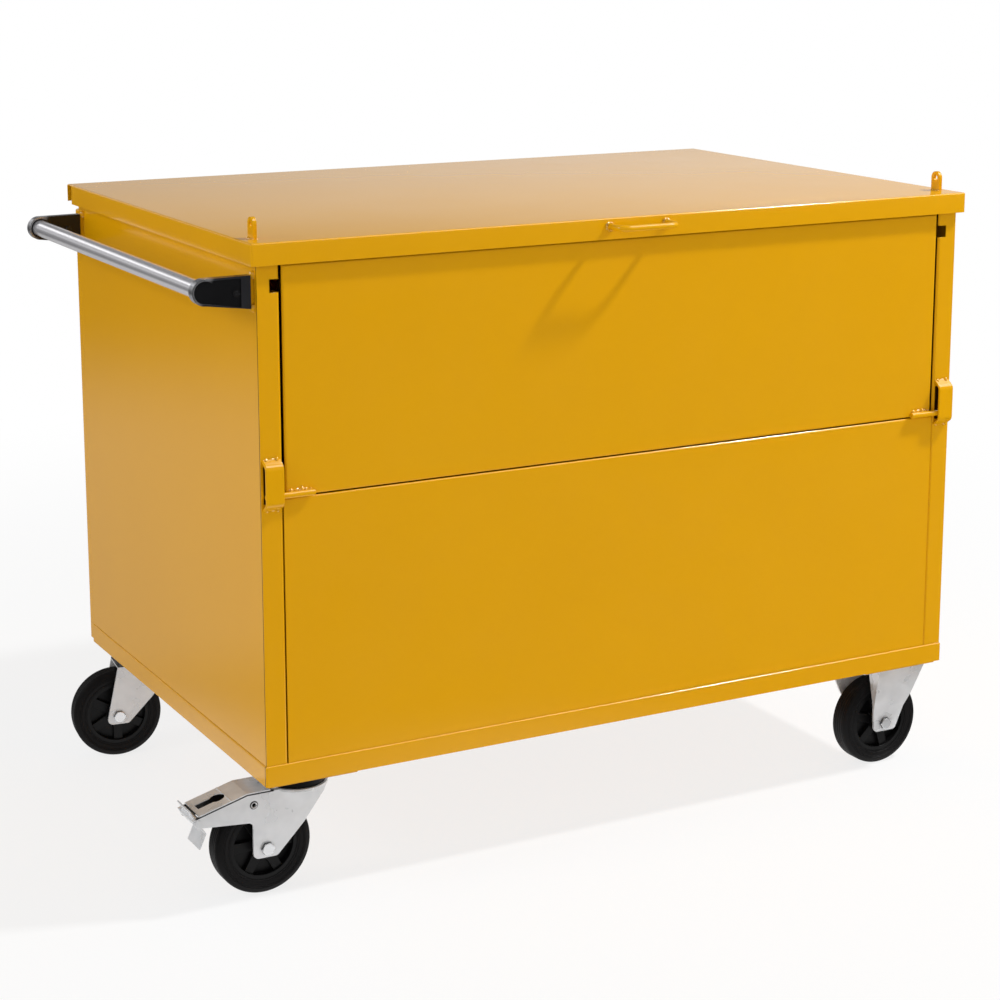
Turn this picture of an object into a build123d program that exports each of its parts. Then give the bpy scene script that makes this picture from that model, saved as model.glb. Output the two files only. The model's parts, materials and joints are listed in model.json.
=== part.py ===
"""Lidded box trolley: a sheet steel box on four castors, with a hinged lid, a front flap that lifts
and folds down, and a push handle at one end.

Millimetres. +X runs along the box away from the push handle, the front faces -Y, +Z is up and the
wheels stand on Z = 0. Pieces are drawn from the base's front left corner and moved to the middle of
the trolley when they are written.
"""
from build123d import *
import os
from math import atan2, cos, degrees, radians, sin, sqrt

# Base, walls and front
base_l = 1300.0          # base length over its skirts
base_d = 824.0           # base depth over its skirts
skirt_h = 33.0           # height of the base skirts
skirt_proud = 2.0        # skirts stand out from the walls
tray_sheet = 2.5         # base tray sheet
sheet = 2.0              # wall sheet
box_h = 841.0            # lid top above the base's lower edge
wall_return = 25.0       # folded top edge of a side wall
back_wall_d = 20.0       # the back wall hangs behind the base by its folded edges
back_wall_rise = 4.0     # its lower edge above the base's lower edge
back_wall_gap = 14.0     # its upper edge below the lid's rear flange
post_w = 36.0            # front face of a corner post
post_return = 30.0       # folded inner edge of a post
notch_w = 16.0           # catch notch in a post
notch_h = 20.0
notch_drop = 22.0        # notch below the lid's skirt
split_h = 452.5          # flap joint above the base's lower edge
split_gap = 1.5          # gap between lower panel and flap
panel_seam = 0.4         # seam beside the lower panel
panel_return = 20.0      # folded top edge of the lower panel
flap_side_gap = 3.8
flap_top_gap = 1.5       # flap below the lid's skirt
flap_return = 16.0       # folded edges of the flap

# Lid, its handle and lugs
lid_sheet = 2.0
lid_skirt_h = 34.0
lid_over_side = 9.5      # lid stands out from the base at each end
lid_over_front = 8.0
lid_over_back = 4.0      # and from the back wall
lid_rear_flange = 30.0
lid_skirt_stop = 22.0    # side skirts end this far before the rear edge
lid_seat_gap = 0.5
lid_edge_r = 3.0         # folded edges
lid_handle_w = 105.0     # between the bar's legs
lid_handle_reach = 43.0
lid_handle_d = 10.0
lid_handle_bend = 16.0
lid_handle_drop = 13.0   # bar below the lid's top
lug_w = 22.0
lug_h = 33.0
lug_t = 6.0
lug_hole_d = 10.0
lug_in_x = 13.5          # lugs from the base's ends
lug_in_y = 43.0          # and from its front

# Lid hinges
hinge_count = 3
hinge_l = 80.0
hinge_end = 180.0        # middle of an end hinge from the base's end
hinge_leaf_h = 30.0
hinge_leaf_t = 2.5
hinge_leaf_drop = 3.0    # lid leaf's upper edge below the lid's top
hinge_end_l = 20.0       # knuckle at each end of a wall leaf
hinge_knuckle_d = 10.0
hinge_pin_d = 6.0
hinge_pin_head_d = 8.0
hinge_pin_head = 2.0
knuckle_gap = 0.5

# Flap straps and pivot rods
strap_w = 30.0
strap_t = 4.0
strap_flat = 46.0        # straight front stretch of a strap
strap_ramp = 15.0        # height of each sloped end
strap_bend_r = 5.0
strap_inset = 2.5        # strap from the post's outer edge
strap_below = 0.7        # straight stretch goes on below the rod
rod_d = 10.0
rod_l = 80.0
rod_chamfer = 0.8
rod_clear = 0.3          # rod to post and to strap
rod_end_inset = 3.0      # rod end inside the strap's outer edge
rod_rise = -0.8          # rod's underside above the flap's lower edge, so it hides the joint

# Push handle
tube_d = 28.0
tube_wall = 2.0
tube_reach = 78.5        # tube centre from the end wall
tube_drop = 69.0         # tube centre below the lid's top
tube_seat = 8.0          # tube length held in each bracket
tube_clear = 0.1
nose_r = 20.0            # bracket round the tube
bracket_end_h = 50.0
bracket_end_drop = 4.5   # its wall end sits lower than the tube by this
bracket_t = 15.0
bracket_stand = 7.0      # bracket end from the wall
bracket_front_in = 5.0   # front bracket from the box's front
bracket_rear_in = 14.0   # rear bracket from the base's back
bracket_rim = 3.5
bracket_end_rim = 15.0
bracket_recess = 2.5
tab_t = 5.0              # steel tab inside a bracket
tab_l = 44.0
tab_h = 30.0             # and its height there
tab_clear = 0.2
tab_bolt_in = 7.0        # bracket bolt from the recess's end
tab_bolt_d = 6.0
tab_bolt_head_d = 11.0
tab_bolt_head_h = 2.0
tab_nut_h = 4.0

# Castors
castor_h = 194.0
castor_in_x = 82.0       # plate centre from the base's ends
castor_in_front = 80.0   # from the base's front
castor_in_rear = 66.0    # and from its back
plate_l = 140.0
plate_w = 110.0
plate_t = 5.0
plate_r = 8.0
bolt_l = 105.0           # bolt pattern of a plate
bolt_w = 75.0
bolt_d = 10.0
bolt_af = 16.0
bolt_head_h = 6.5
bolt_clear = 0.5
rail_w = 150.0           # castor rail under the base
rail_t = 5.0
rail_web = 4.0
rail_end = 6.0           # rail ends inside the base's skirts
wheel_d = 160.0
wheel_w = 40.0
trail = 63.0             # swivel axis to wheel axle
rear_turn = -7.5         # the rear swivel castor stands turned by this, in degrees

# Swivel bearing
race_d = 76.0
race_h = 8.0
race_gap = 8.0           # bearing gap above the fork's crown
seal_d = 94.0
seal_clear = 0.5
seal_round = 2.0
ball_path_d = 60.0       # ring of bearing balls
ball_count = 16
kingpin_d = 16.0
kingpin_head_d = 28.0
kingpin_head_h = 8.0
run_clear = 0.05         # running fit
face_clear = 0.3         # gap between turning faces

# Forks
crown_d = 102.0
crown_t = 4.0
leg_t = 4.0
leg_out = 32.0           # outer face of a leg from the wheel's middle
leg_foot = 15.0          # leg below the axle
leg_heel = 23.0          # leg behind the axle
leg_toe = 17.0           # leg ahead of the axle
leg_belly = 5.0          # its front edge swells by this half way up
leg_belly_r = 60.0
leg_foot_r = 9.0
shoulder_drop = 15.0     # leg edge under the crown
shoulder_in = 5.0
shoulder_r = 7.5
arm_end_x = 186.0        # brake arm's end from the swivel axis
arm_rise_x = 94.5        # bend in its upper edge
arm_fall = 25.0          # upper edge falls by this to the end
arm_end_h = 14.0
arm_end_lean = 7.0       # slope of the arm's end
arm_end_r = 3.5
arm_rise_r = 14.0
arm_root_h = 47.0        # arm's depth at the leg
arm_root_r = 8.0

# Fixed brackets
fixed_top_out = 55.0     # leg's outer face at the plate
fixed_knee = 88.0        # leg turns upright this far below the plate's top
fixed_lead = 68.0        # long edge of a leg at the plate
fixed_lag = 32.0         # flanged edge of a leg at the plate
fixed_lag_low = 25.0     # and at the knee
fixed_belly = 6.0        # long edge swells by this half way up
flange_depth = 34.0      # flange at the plate
flange_t = 3.0

# Brake
eyelet_x = 84.0          # leaf rivets from the swivel axis
eyelet_drop = 39.0       # and below the plate's top
eyelet_d = 12.0
eyelet_hole_d = 7.0
eyelet_lip = 1.5
leaf_t = 2.5
leaf_gap = 0.3           # leaf to arms
leaf_head_gap = 5.0      # leaf's inner end to the crown
leaf_cheek = 13.0        # depth of its side flanges
leaf_ear_d = 24.0        # rivet ears of the flanges
leaf_end = 12.0          # leaf ends before the arms
leaf_cheek_end = 20.0    # and its flanges
leaf_ridge_x = 121.0     # pressed ridge across the leaf, from the swivel axis
leaf_ridge_r = 1.5
key_x = 133.0            # keyhole's round end from the swivel axis
key_d = 25.0
slot_w = 17.0
slot_l = 35.0            # from the round end to the slot's end
lever_in = 9.0           # lever pivot from the arms' ends
lever_pin_d = 6.0
lever_pin_head_d = 9.5
lever_hub_d = 13.0
lever_gap = 0.5          # lever to arms
lever_w = 50.0           # width of its tabs
lever_t = 2.5
tab_up = 22.05           # upper tab from the pivot
tab_up_lean = 30.0
tab_knee = 28.0          # lower tab from the pivot to its bend
tab_knee_lean = 33.0
tab_tip = 26.0           # and on to its tip
tab_tip_lean = 24.0

# Wheels
tyre_inner_d = 114.0
tyre_shoulder_r = 7.0
tyre_shoulder_in = 10.5  # side wall ends this far below the tread
tyre_tread_in = 3.5      # tread's edge inside the tyre's side
tyre_side_r = 5.0
tyre_waist = 2.5         # side wall drawn in at the rim
tyre_line_d = 138.0      # moulded line on the side wall
tyre_line = 1.2
rim_wall = 7.0
rim_inset = 3.0          # rim edge inside the tyre's side
web_t = 10.0
rib_count = 6
rib_t = 16.0
rib_inset = 4.0          # ribs inside the rim's edge
hub_d = 40.0
hub_face_gap = 0.5
sleeve_d = 20.0
axle_d = 12.0
axle_af = 19.0
axle_head_h = 6.0
axle_nut_h = 9.0
axle_end = 3.0
axle_clear = 0.1
# How far each wheel stands turned on its axle, in degrees
wheel_turns = {"left_front": 0.0, "left_rear": 30.0, "right_front": 15.0, "right_rear": 0.0}

# Heights and faces worked out from the sizes above
base_z = castor_h + rail_t
floor_z = base_z + skirt_h
lid_z = base_z + box_h
lid_under = lid_z - lid_sheet
lid_skirt_z = lid_z - lid_skirt_h
lid_flange_z = lid_z - lid_rear_flange
wall_top = lid_under - lid_seat_gap
split_z = base_z + split_h
wall_x0 = skirt_proud
wall_x1 = base_l - skirt_proud
wall_y0 = skirt_proud
back_y = base_d + back_wall_d
post_x0 = wall_x0 + post_w
post_x1 = wall_x1 - post_w
lid_back = back_y + lid_over_back
back_top = lid_flange_z - back_wall_gap
hinge_y = lid_back + hinge_knuckle_d / 2
hinge_z = lid_flange_z - back_wall_gap / 2
flap_z0 = split_z + split_gap / 2
flap_z1 = lid_skirt_z - flap_top_gap
rod_y = wall_y0 - rod_clear - rod_d / 2
rod_z = flap_z0 + rod_rise + rod_d / 2
tube_x = wall_x0 - tube_reach
tube_z = lid_z - tube_drop
tab_bolt_x = bracket_stand + bracket_end_rim + tab_bolt_in
axle_drop = castor_h - wheel_d / 2
crown_top = plate_t + race_h + race_gap
leg_in = leg_out - leg_t
chord = sqrt((crown_d / 2) ** 2 - leg_out ** 2)
castor_x = {"left": castor_in_x, "right": base_l - castor_in_x}
castor_y = {"front": castor_in_front, "rear": base_d - castor_in_rear}

# The middle of the trolley, from the reach of its outermost pieces
lever_reach = arm_end_x - lever_in + tab_up * sin(radians(tab_up_lean)) - castor_in_x
left_reach = max(tube_reach + nose_r - wall_x0, lever_reach)
middle_x = (base_l + lid_over_side - left_reach) / 2
middle_y = (hinge_y + hinge_knuckle_d / 2 - lid_over_front - lid_handle_reach) / 2


# Small builders

upright = (Align.CENTER, Align.CENTER, Align.MIN)


def block(x0, x1, y0, y1, z0, z1):
    """Box between two corners."""
    return Pos(x0, y0, z0) * Box(x1 - x0, y1 - y0, z1 - z0, align=(Align.MIN,) * 3)


def round_x(d, x0, x1, y, z):
    """Cylinder along X."""
    return Pos(x0, y, z) * Rot(0, 90, 0) * Cylinder(d / 2, x1 - x0, align=upright)


def round_y(d, y0, y1, x, z):
    """Cylinder along Y."""
    return Pos(x, y0, z) * Rot(-90, 0, 0) * Cylinder(d / 2, y1 - y0, align=upright)


def round_z(d, z0, z1, x=0.0, y=0.0):
    """Upright cylinder."""
    return Pos(x, y, z0) * Cylinder(d / 2, z1 - z0, align=upright)


def outline(corners):
    """Polygon through (a, b, radius) corners, each rounded by its radius."""
    face = Polygon(*[(a, b) for a, b, _ in corners], align=None)
    for a, b, radius in corners:
        if radius > 0:
            face = fillet(face.vertices().sort_by_distance((a, b, 0))[0], radius)
    return face


def plate_xz(face, y0, y1):
    """Outline drawn in X and Z, thick along Y."""
    return Pos(0, y1, 0) * Rot(90, 0, 0) * extrude(face, y1 - y0, dir=(0, 0, 1))


def plate_yz(face, x0, x1):
    """Outline drawn in Y and Z, thick along X."""
    return Pos(x0, 0, 0) * Rot(0, 0, 90) * Rot(90, 0, 0) * extrude(face, x1 - x0, dir=(0, 0, 1))


def hexagon_y(af, y0, y1, x, z):
    """Hexagonal head along Y."""
    face = RegularPolygon(af / 2, 6, major_radius=False)
    return Pos(x, y1, z) * Rot(90, 0, 0) * extrude(face, y1 - y0)


def hexagon_z(af, z0, z1, x, y):
    """Hexagonal head along Z."""
    return Pos(x, y, z0) * extrude(RegularPolygon(af / 2, 6, major_radius=False), z1 - z0)


def both_ends(x0, x1):
    """A span along X and the same span mirrored to the other end of the base."""
    return (x0, x1), (base_l - x1, base_l - x0)


# Base and walls

def base_tray():
    """Inverted pan: the box floor with skirts turned down all round."""
    outer = block(0, base_l, 0, base_d, base_z, floor_z)
    return outer - block(tray_sheet, base_l - tray_sheet, tray_sheet, base_d - tray_sheet,
                         base_z, floor_z - tray_sheet)


def castor_rail(x):
    """Channel under the floor that two castors bolt to; its plate shows below the skirts."""
    y0 = tray_sheet + rail_end
    y1 = base_d - tray_sheet - rail_end
    top = floor_z - tray_sheet
    inner = rail_w / 2 - rail_web
    rail = block(x - rail_w / 2, x + rail_w / 2, y0, y1, castor_h, top)
    rail -= block(x - inner, x + inner, y0, y1, base_z, top)
    for y in castor_y.values():
        for bx, by in bolt_places():
            rail -= round_z(bolt_d + bolt_clear, castor_h, base_z, x + bx, y + by)
    return rail


def side_panel(outside, inside):
    """End wall with its top edge folded in; inside is +1 where the box lies to its right."""
    x0, x1 = sorted((outside, outside + inside * sheet))
    r0, r1 = sorted((outside, outside + inside * wall_return))
    panel = block(x0, x1, wall_y0 + sheet, base_d, floor_z, wall_top)
    return panel + block(r0, r1, wall_y0 + sheet, base_d, wall_top - sheet, wall_top)


def back_panel():
    """Back wall: a folded pan behind the base, with a ledge level with the box floor."""
    panel = block(wall_x0, wall_x1, base_d, back_y, base_z + back_wall_rise, back_top)
    inner = (wall_x0 + sheet, wall_x1 - sheet, base_d, back_y - sheet)
    panel -= block(*inner, floor_z, back_top - sheet)
    return panel - block(*inner, base_z + back_wall_rise, floor_z - sheet)


def lower_front_panel():
    """Fixed lower half of the front, its top edge folded in."""
    x0 = post_x0 + panel_seam
    x1 = post_x1 - panel_seam
    top = split_z - split_gap / 2
    panel = block(x0, x1, wall_y0, wall_y0 + sheet, floor_z, top)
    return panel + block(x0, x1, wall_y0, wall_y0 + panel_return, top - sheet, top)


def front_post(x0, x1, inner_x):
    """Corner post: front face and folded inner edge, with a catch notch."""
    post = block(x0, x1, wall_y0, wall_y0 + sheet, floor_z, wall_top)
    f0, f1 = sorted((inner_x, inner_x + sheet * (-1 if inner_x == x1 else 1)))
    post += block(f0, f1, wall_y0, wall_y0 + post_return, floor_z, wall_top)
    n0, n1 = sorted((inner_x, inner_x + notch_w * (-1 if inner_x == x1 else 1)))
    z1 = lid_skirt_z - notch_drop
    return post - block(n0, n1, wall_y0, wall_y0 + post_return, z1 - notch_h, z1)


# Flap, its straps and rods

def flap_panel():
    """Upper half of the front: a shallow pan with folded edges."""
    x0 = post_x0 + flap_side_gap
    x1 = post_x1 - flap_side_gap
    pan = block(x0, x1, wall_y0, wall_y0 + flap_return, flap_z0, flap_z1)
    return pan - block(x0 + sheet, x1 - sheet, wall_y0 + sheet, wall_y0 + flap_return,
                       flap_z0 + sheet, flap_z1 - sheet)


def flap_strap(x0, x1):
    """Flat bar bent into a long staple on a post; a flap rod slides up and down behind it."""
    mid_y = wall_y0 - 2 * rod_clear - rod_d - strap_t / 2
    low = rod_z - rod_d / 2 - strap_below
    high = low + strap_flat
    foot_y = wall_y0 + strap_t
    foot = strap_ramp * (foot_y - mid_y) / (wall_y0 - mid_y)
    path = FilletPolyline((foot_y, low - foot), (mid_y, low), (mid_y, high), (foot_y, high + foot),
                          radius=strap_bend_r)
    bar = plate_yz(trace(path, strap_t), x0, x1)
    over = foot + strap_t
    return bar - block(x0, x1, wall_y0, foot_y + strap_t, low - over, high + over)


def flap_rod(x0, x1):
    """Pivot rod at a lower corner of the flap."""
    rod = round_x(rod_d, x0, x1, rod_y, rod_z)
    return chamfer(rod.edges().filter_by(GeomType.CIRCLE), rod_chamfer)


# Lid

def lid_panel():
    """Flat lid with skirts at the front and ends and a shorter flange at the back."""
    x0, x1 = -lid_over_side, base_l + lid_over_side
    y0 = -lid_over_front
    stop = lid_back - lid_skirt_stop
    lid = block(x0, x1, y0, lid_back, lid_skirt_z, lid_z)
    folds = lid.faces().sort_by(Axis.Z)[-1].edges() + lid.edges().filter_by(Axis.Z).group_by(Axis.Y)[0]
    lid = fillet(folds, lid_edge_r)
    lid -= block(x0 + lid_sheet, x1 - lid_sheet, y0 + lid_sheet, lid_back - lid_sheet, lid_skirt_z, lid_under)
    lid -= block(x0, x1, stop, lid_back - lid_sheet, lid_skirt_z, lid_under)
    return lid - block(x0, x1, stop, lid_back, lid_skirt_z, lid_flange_z)


def lid_handle():
    """Round bar bow on the lid's front skirt."""
    x0 = (base_l - lid_handle_w) / 2
    x1 = x0 + lid_handle_w
    y0 = -lid_over_front
    y1 = y0 - lid_handle_reach + lid_handle_d / 2
    z = lid_z - lid_handle_drop
    path = FilletPolyline((x0, y0, z), (x0, y1, z), (x1, y1, z), (x1, y0, z), radius=lid_handle_bend)
    return sweep(Plane((x0, y0, z), z_dir=(0, -1, 0)) * Circle(lid_handle_d / 2), path)


def lug(x, y):
    """Eye plate welded upright on the lid."""
    eye_z = lid_z + lug_h - lug_w / 2
    face = outline([(y - lug_w / 2, lid_z, 0), (y + lug_w / 2, lid_z, 0),
                    (y + lug_w / 2, eye_z, 0), (y - lug_w / 2, eye_z, 0)])
    face += Pos(y, eye_z) * Circle(lug_w / 2)
    plate = plate_yz(face, x - lug_t / 2, x + lug_t / 2)
    return plate - round_x(lug_hole_d, x - lug_t / 2, x + lug_t / 2, y, eye_z)


def hinge_middles():
    """Places of the hinges along the back."""
    span = base_l - 2 * hinge_end
    return [hinge_end + span * i / (hinge_count - 1) for i in range(hinge_count)]


def knuckle(x0, x1):
    """Rolled knuckle round the hinge pin."""
    tube = round_x(hinge_knuckle_d, x0, x1, hinge_y, hinge_z)
    return tube - round_x(hinge_pin_d + 2 * run_clear, x0, x1, hinge_y, hinge_z)


def hinge_wall_leaf(x):
    """Leaf on the back wall with a knuckle at each end."""
    left, right = x - hinge_l / 2, x + hinge_l / 2
    leaf = block(left, right, back_y, back_y + hinge_leaf_t, back_top - hinge_leaf_h, back_top)
    for x0, x1 in ((left, left + hinge_end_l), (right - hinge_end_l, right)):
        rise = block(x0, x1, back_y, hinge_y, back_top, hinge_z)
        leaf += rise - round_x(hinge_pin_d + 2 * run_clear, x0, x1, hinge_y, hinge_z) + knuckle(x0, x1)
    return leaf


def hinge_lid_leaf(x):
    """Leaf on the lid's rear flange with one knuckle in the middle."""
    half = hinge_l / 2 - hinge_end_l - knuckle_gap
    leaf = block(x - half, x + half, lid_back, lid_back + hinge_leaf_t,
                 hinge_z + hinge_pin_d / 2 + run_clear, lid_z - hinge_leaf_drop)
    return leaf + knuckle(x - half, x + half)


def hinge_pin(x):
    """Headed pin through a hinge's knuckles."""
    pin = round_x(hinge_pin_d, x - hinge_l / 2, x + hinge_l / 2, hinge_y, hinge_z)
    for x0 in (x - hinge_l / 2 - hinge_pin_head, x + hinge_l / 2):
        pin += round_x(hinge_pin_head_d, x0, x0 + hinge_pin_head, hinge_y, hinge_z)
    return pin


# Push handle

def bracket_side(end):
    """Outer side of a handle bracket: its direction along Y and its place."""
    return (-1, wall_y0 + bracket_front_in) if end == "front" else (1, base_d - bracket_rear_in)


def bracket_face(inset, end_inset):
    """Bracket seen from its side, round at the tube and straight at the wall, drawn in by the insets."""
    end_x = wall_x0 - bracket_stand - end_inset
    half = bracket_end_h / 2 - inset
    end_z = tube_z - bracket_end_drop
    nose = nose_r - inset
    tail = Polygon((tube_x, tube_z - nose), (end_x, end_z - half),
                   (end_x, end_z + half), (tube_x, tube_z + nose), align=None)
    return tail + Pos(tube_x, tube_z) * Circle(nose)


def handle_bracket(end):
    """Moulded bracket: recessed outer side, socket for the tube, slot for the steel tab."""
    side, out = bracket_side(end)
    inn = out - side * bracket_t
    body = plate_xz(bracket_face(0, 0), *sorted((out, inn)))
    recess = bracket_face(bracket_rim, bracket_end_rim)
    body -= plate_xz(recess, *sorted((out, out - side * bracket_recess)))
    body -= round_y(tube_d + 2 * tube_clear, *sorted((inn, inn + side * tube_seat)), tube_x, tube_z)
    return body - tab_box(end, tab_l, tab_h, tab_clear) - tab_hole(end)


def tab_box(end, length, height, clear):
    """Space of a steel tab or its tongue, grown by a clearance."""
    side, out = bracket_side(end)
    y = out - side * (bracket_t + bracket_recess) / 2
    z = tube_z - bracket_end_drop
    return block(wall_x0 - length - clear, wall_x0, y - tab_t / 2 - clear, y + tab_t / 2 + clear,
                 z - height / 2 - clear, z + height / 2 + clear)


def tab_hole(end):
    """Bolt hole through a bracket and its tab."""
    side, out = bracket_side(end)
    return round_y(tab_bolt_d + bolt_clear, *sorted((out, out - side * bracket_t)),
                   wall_x0 - tab_bolt_x, tube_z - bracket_end_drop)


def handle_tab(end):
    """Steel tab welded to the end wall, its narrower tongue inside a bracket."""
    root = tab_box(end, bracket_stand, bracket_end_h, 0)
    return root + tab_box(end, tab_l, tab_h, 0) - tab_hole(end)


def handle_bolt(end):
    """Round headed bolt with its nut, through bracket and tab."""
    side, out = bracket_side(end)
    seat = out - side * bracket_recess
    inn = out - side * bracket_t
    x, z = wall_x0 - tab_bolt_x, tube_z - bracket_end_drop
    bolt = round_y(tab_bolt_d, *sorted((seat, inn)), x, z)
    bolt += round_y(tab_bolt_head_d, *sorted((seat, seat + side * tab_bolt_head_h)), x, z)
    return bolt + hexagon_y(tab_bolt_head_d, *sorted((inn, inn - side * tab_nut_h)), x, z)


def push_tube():
    """Round tube between the two brackets."""
    y0, y1 = [out - side * (bracket_t - tube_seat) for side, out in map(bracket_side, castor_y)]
    bore = round_y(tube_d - 2 * tube_wall, y0, y1, tube_x, tube_z)
    return round_y(tube_d, y0, y1, tube_x, tube_z) - bore


# Castors, drawn about the plate's middle with z = 0 on its top face

def bolt_places():
    """Bolt pattern of a castor plate."""
    return [(sx * bolt_l / 2, sy * bolt_w / 2) for sx in (-1, 1) for sy in (-1, 1)]


def castor_plate():
    """Flat mounting plate with rounded corners and four bolt holes."""
    plate = Pos(0, 0, -plate_t) * extrude(RectangleRounded(plate_l, plate_w, plate_r), plate_t)
    for x, y in bolt_places():
        plate -= round_z(bolt_d + bolt_clear, -plate_t, 0, x, y)
    return plate


def swivel_plate():
    """Mounting plate with the upper bearing race under it."""
    plate = castor_plate() + round_z(race_d, -plate_t - race_h, -plate_t)
    return plate - round_z(kingpin_d + 2 * run_clear, -plate_t - race_h, 0)


def kingpin():
    """Kingpin with its riveted head below the fork's crown."""
    low = -crown_top - crown_t - face_clear
    return round_z(kingpin_d, low, 0) + round_z(kingpin_head_d, low - kingpin_head_h, low)


def seal_ring():
    """Dust seal that hides the bearing gap, seated on the fork's crown."""
    ring = round_z(seal_d, -crown_top, -plate_t - face_clear)
    ring -= round_z(race_d + 2 * seal_clear, -crown_top, -plate_t - face_clear)
    outer = ring.edges().filter_by(GeomType.CIRCLE).group_by(SortBy.RADIUS)[-1]
    return fillet(outer.sort_by(Axis.Z)[-1], seal_round)


def bearing_balls():
    """Ring of balls between the upper race and the fork's crown."""
    ball = Pos(ball_path_d / 2, 0, -crown_top + race_gap / 2) * Sphere(race_gap / 2 - face_clear)
    return [Rot(0, 0, 360 * i / ball_count) * ball for i in range(ball_count)]


def bolt_castor(thick):
    """Four bolts through a plate and the rail above it, with a nut under the plate."""
    bolts = []
    for x, y in bolt_places():
        bolt = round_z(bolt_d, -thick, rail_t, x, y)
        bolt += hexagon_z(bolt_af, rail_t, rail_t + bolt_head_h, x, y)
        bolts.append(bolt + hexagon_z(bolt_af, -thick - bolt_head_h, -thick, x, y))
    return bolts


def leg_pair(face):
    """The two upright legs of a fork."""
    return plate_xz(face, -leg_out, -leg_in) + plate_xz(face, leg_in, leg_out)


def leg_front():
    """Corners of a swivel fork's leg ahead of the axle, from the crown down to the foot."""
    shoulder = (chord - shoulder_in, -crown_top - shoulder_drop)
    toe = (leg_toe - trail, -axle_drop - leg_foot)
    return [(chord, -crown_top - crown_t / 2, 0),
            (*shoulder, shoulder_r),
            ((shoulder[0] + toe[0]) / 2 + leg_belly, (shoulder[1] + toe[1]) / 2, leg_belly_r),
            (*toe, leg_foot_r),
            (-leg_heel - trail, -axle_drop - leg_foot, leg_foot_r)]


def fork(face):
    """Round crown with two legs, bored for the kingpin and the axle."""
    body = round_z(crown_d, -crown_top - crown_t, -crown_top) + leg_pair(face)
    body -= round_z(kingpin_d + 2 * run_clear, -crown_top - crown_t, -crown_top)
    return body - round_y(axle_d + 2 * axle_clear, -leg_out, leg_out, -trail, -axle_drop)


def plain_fork():
    """Fork of the rear swivel castor."""
    top = -crown_top - crown_t / 2
    face = outline(leg_front() + [(-trail, top, 0)])
    neck = block(-trail, 0, -leg_out, leg_out, -crown_top - crown_t, -crown_top)
    body = fork(face) + neck
    return body - round_z(kingpin_d + 2 * run_clear, -crown_top - crown_t, -crown_top)


def arm_top(x):
    """Height of the brake arms' upper edge, x measured back from the swivel axis."""
    slope = arm_fall / (arm_end_x - arm_rise_x)
    return -crown_top - max(0.0, x - arm_rise_x) * slope


def brake_fork():
    """Fork of the front swivel castor, its legs drawn out into arms that carry the pedal."""
    heel = -leg_heel - trail
    end = arm_top(arm_end_x)
    face = outline(leg_front() + [(heel, -crown_top - arm_root_h, arm_root_r),
                                  (-arm_end_x + arm_end_lean, end - arm_end_h, arm_end_r),
                                  (-arm_end_x, end, 0),
                                  (-arm_rise_x, -crown_top, arm_rise_r),
                                  (0, -crown_top, 0)])
    body = fork(face) - round_y(eyelet_d - 2 * eyelet_lip, -leg_out, leg_out, -eyelet_x, -eyelet_drop)
    return body - round_y(lever_pin_d + 2 * run_clear, -leg_out, leg_out, *lever_place())


def leaf_side():
    """Outer side of the brake leaf from the wheel's middle."""
    return leg_in - leaf_gap


def brake_eyelets():
    """Two hollow rivets that hold the brake leaf to the arms."""
    rivets = []
    place = (-eyelet_x, -eyelet_drop)
    shank_d = eyelet_d - 2 * eyelet_lip - 2 * run_clear
    for side in (-1, 1):
        inn, out, lip = side * (leaf_side() - leaf_t), side * leg_out, side * (leg_out + eyelet_lip)
        rivet = round_y(shank_d, *sorted((inn, out)), *place)
        rivet += round_y(eyelet_d, *sorted((out, lip)), *place)
        rivets.append(rivet - round_y(eyelet_hole_d, *sorted((inn, lip)), *place))
    return rivets


def leaf_line(x):
    """Height of the brake leaf's upper face, x measured back from the swivel axis."""
    return arm_top(x) + leaf_gap + leaf_t


def leaf_edge(end, drop, radius):
    """Corners of a line along the leaf, a drop below its upper face, out to an end before the arms'."""
    return [(-x, leaf_line(x) - drop, r) for x, r in
            ((crown_d / 2 + leaf_head_gap, 0), (arm_rise_x, radius), (arm_end_x - end, 0))]


def brake_leaf():
    """Leaf over the arms: a sloping top with a ridge and a keyhole, and flanges inside with rivet ears."""
    half = leaf_side()
    under_r = arm_rise_r + leaf_gap
    top = outline(leaf_edge(leaf_end, 0, under_r + leaf_t) + leaf_edge(leaf_end, leaf_t, under_r)[::-1])
    cheek = outline(leaf_edge(leaf_cheek_end, leaf_t, under_r) + leaf_edge(leaf_cheek_end, leaf_cheek, 0)[::-1])
    ear_top = leaf_line(eyelet_x) - leaf_t
    cheek += Pos(-eyelet_x, (ear_top - eyelet_drop) / 2) * Rectangle(leaf_ear_d, ear_top + eyelet_drop)
    cheek += Pos(-eyelet_x, -eyelet_drop) * Circle(leaf_ear_d / 2)
    leaf = plate_xz(top, -leg_out, leg_out)
    leaf += round_y(2 * leaf_ridge_r, -leg_out, leg_out, -leaf_ridge_x, leaf_line(leaf_ridge_x) - leaf_ridge_r / 2)
    for side in (-1, 1):
        leaf += plate_xz(cheek, *sorted((side * half, side * (half - leaf_t))))
    leaf -= round_y(eyelet_d - 2 * eyelet_lip, -half, half, -eyelet_x, -eyelet_drop)
    slope = degrees(atan2(arm_fall, arm_end_x - arm_rise_x))
    key = Circle(key_d / 2) + Pos(-slot_l / 2, 0) * Rectangle(slot_l, slot_w)
    on_slope = Pos(-key_x, 0, leaf_line(key_x)) * Rot(0, -slope, 0)
    return leaf - on_slope * extrude(key, 2 * leaf_t, both=True)


def lever_place():
    """Pivot of the brake lever."""
    x = arm_end_x - lever_in
    return -x, arm_top(x) - arm_end_h / 2


def leaning(start, length, angle):
    """Point at a length and an angle from a start point."""
    return start[0] + length * cos(radians(angle)), start[1] + length * sin(radians(angle))


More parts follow.
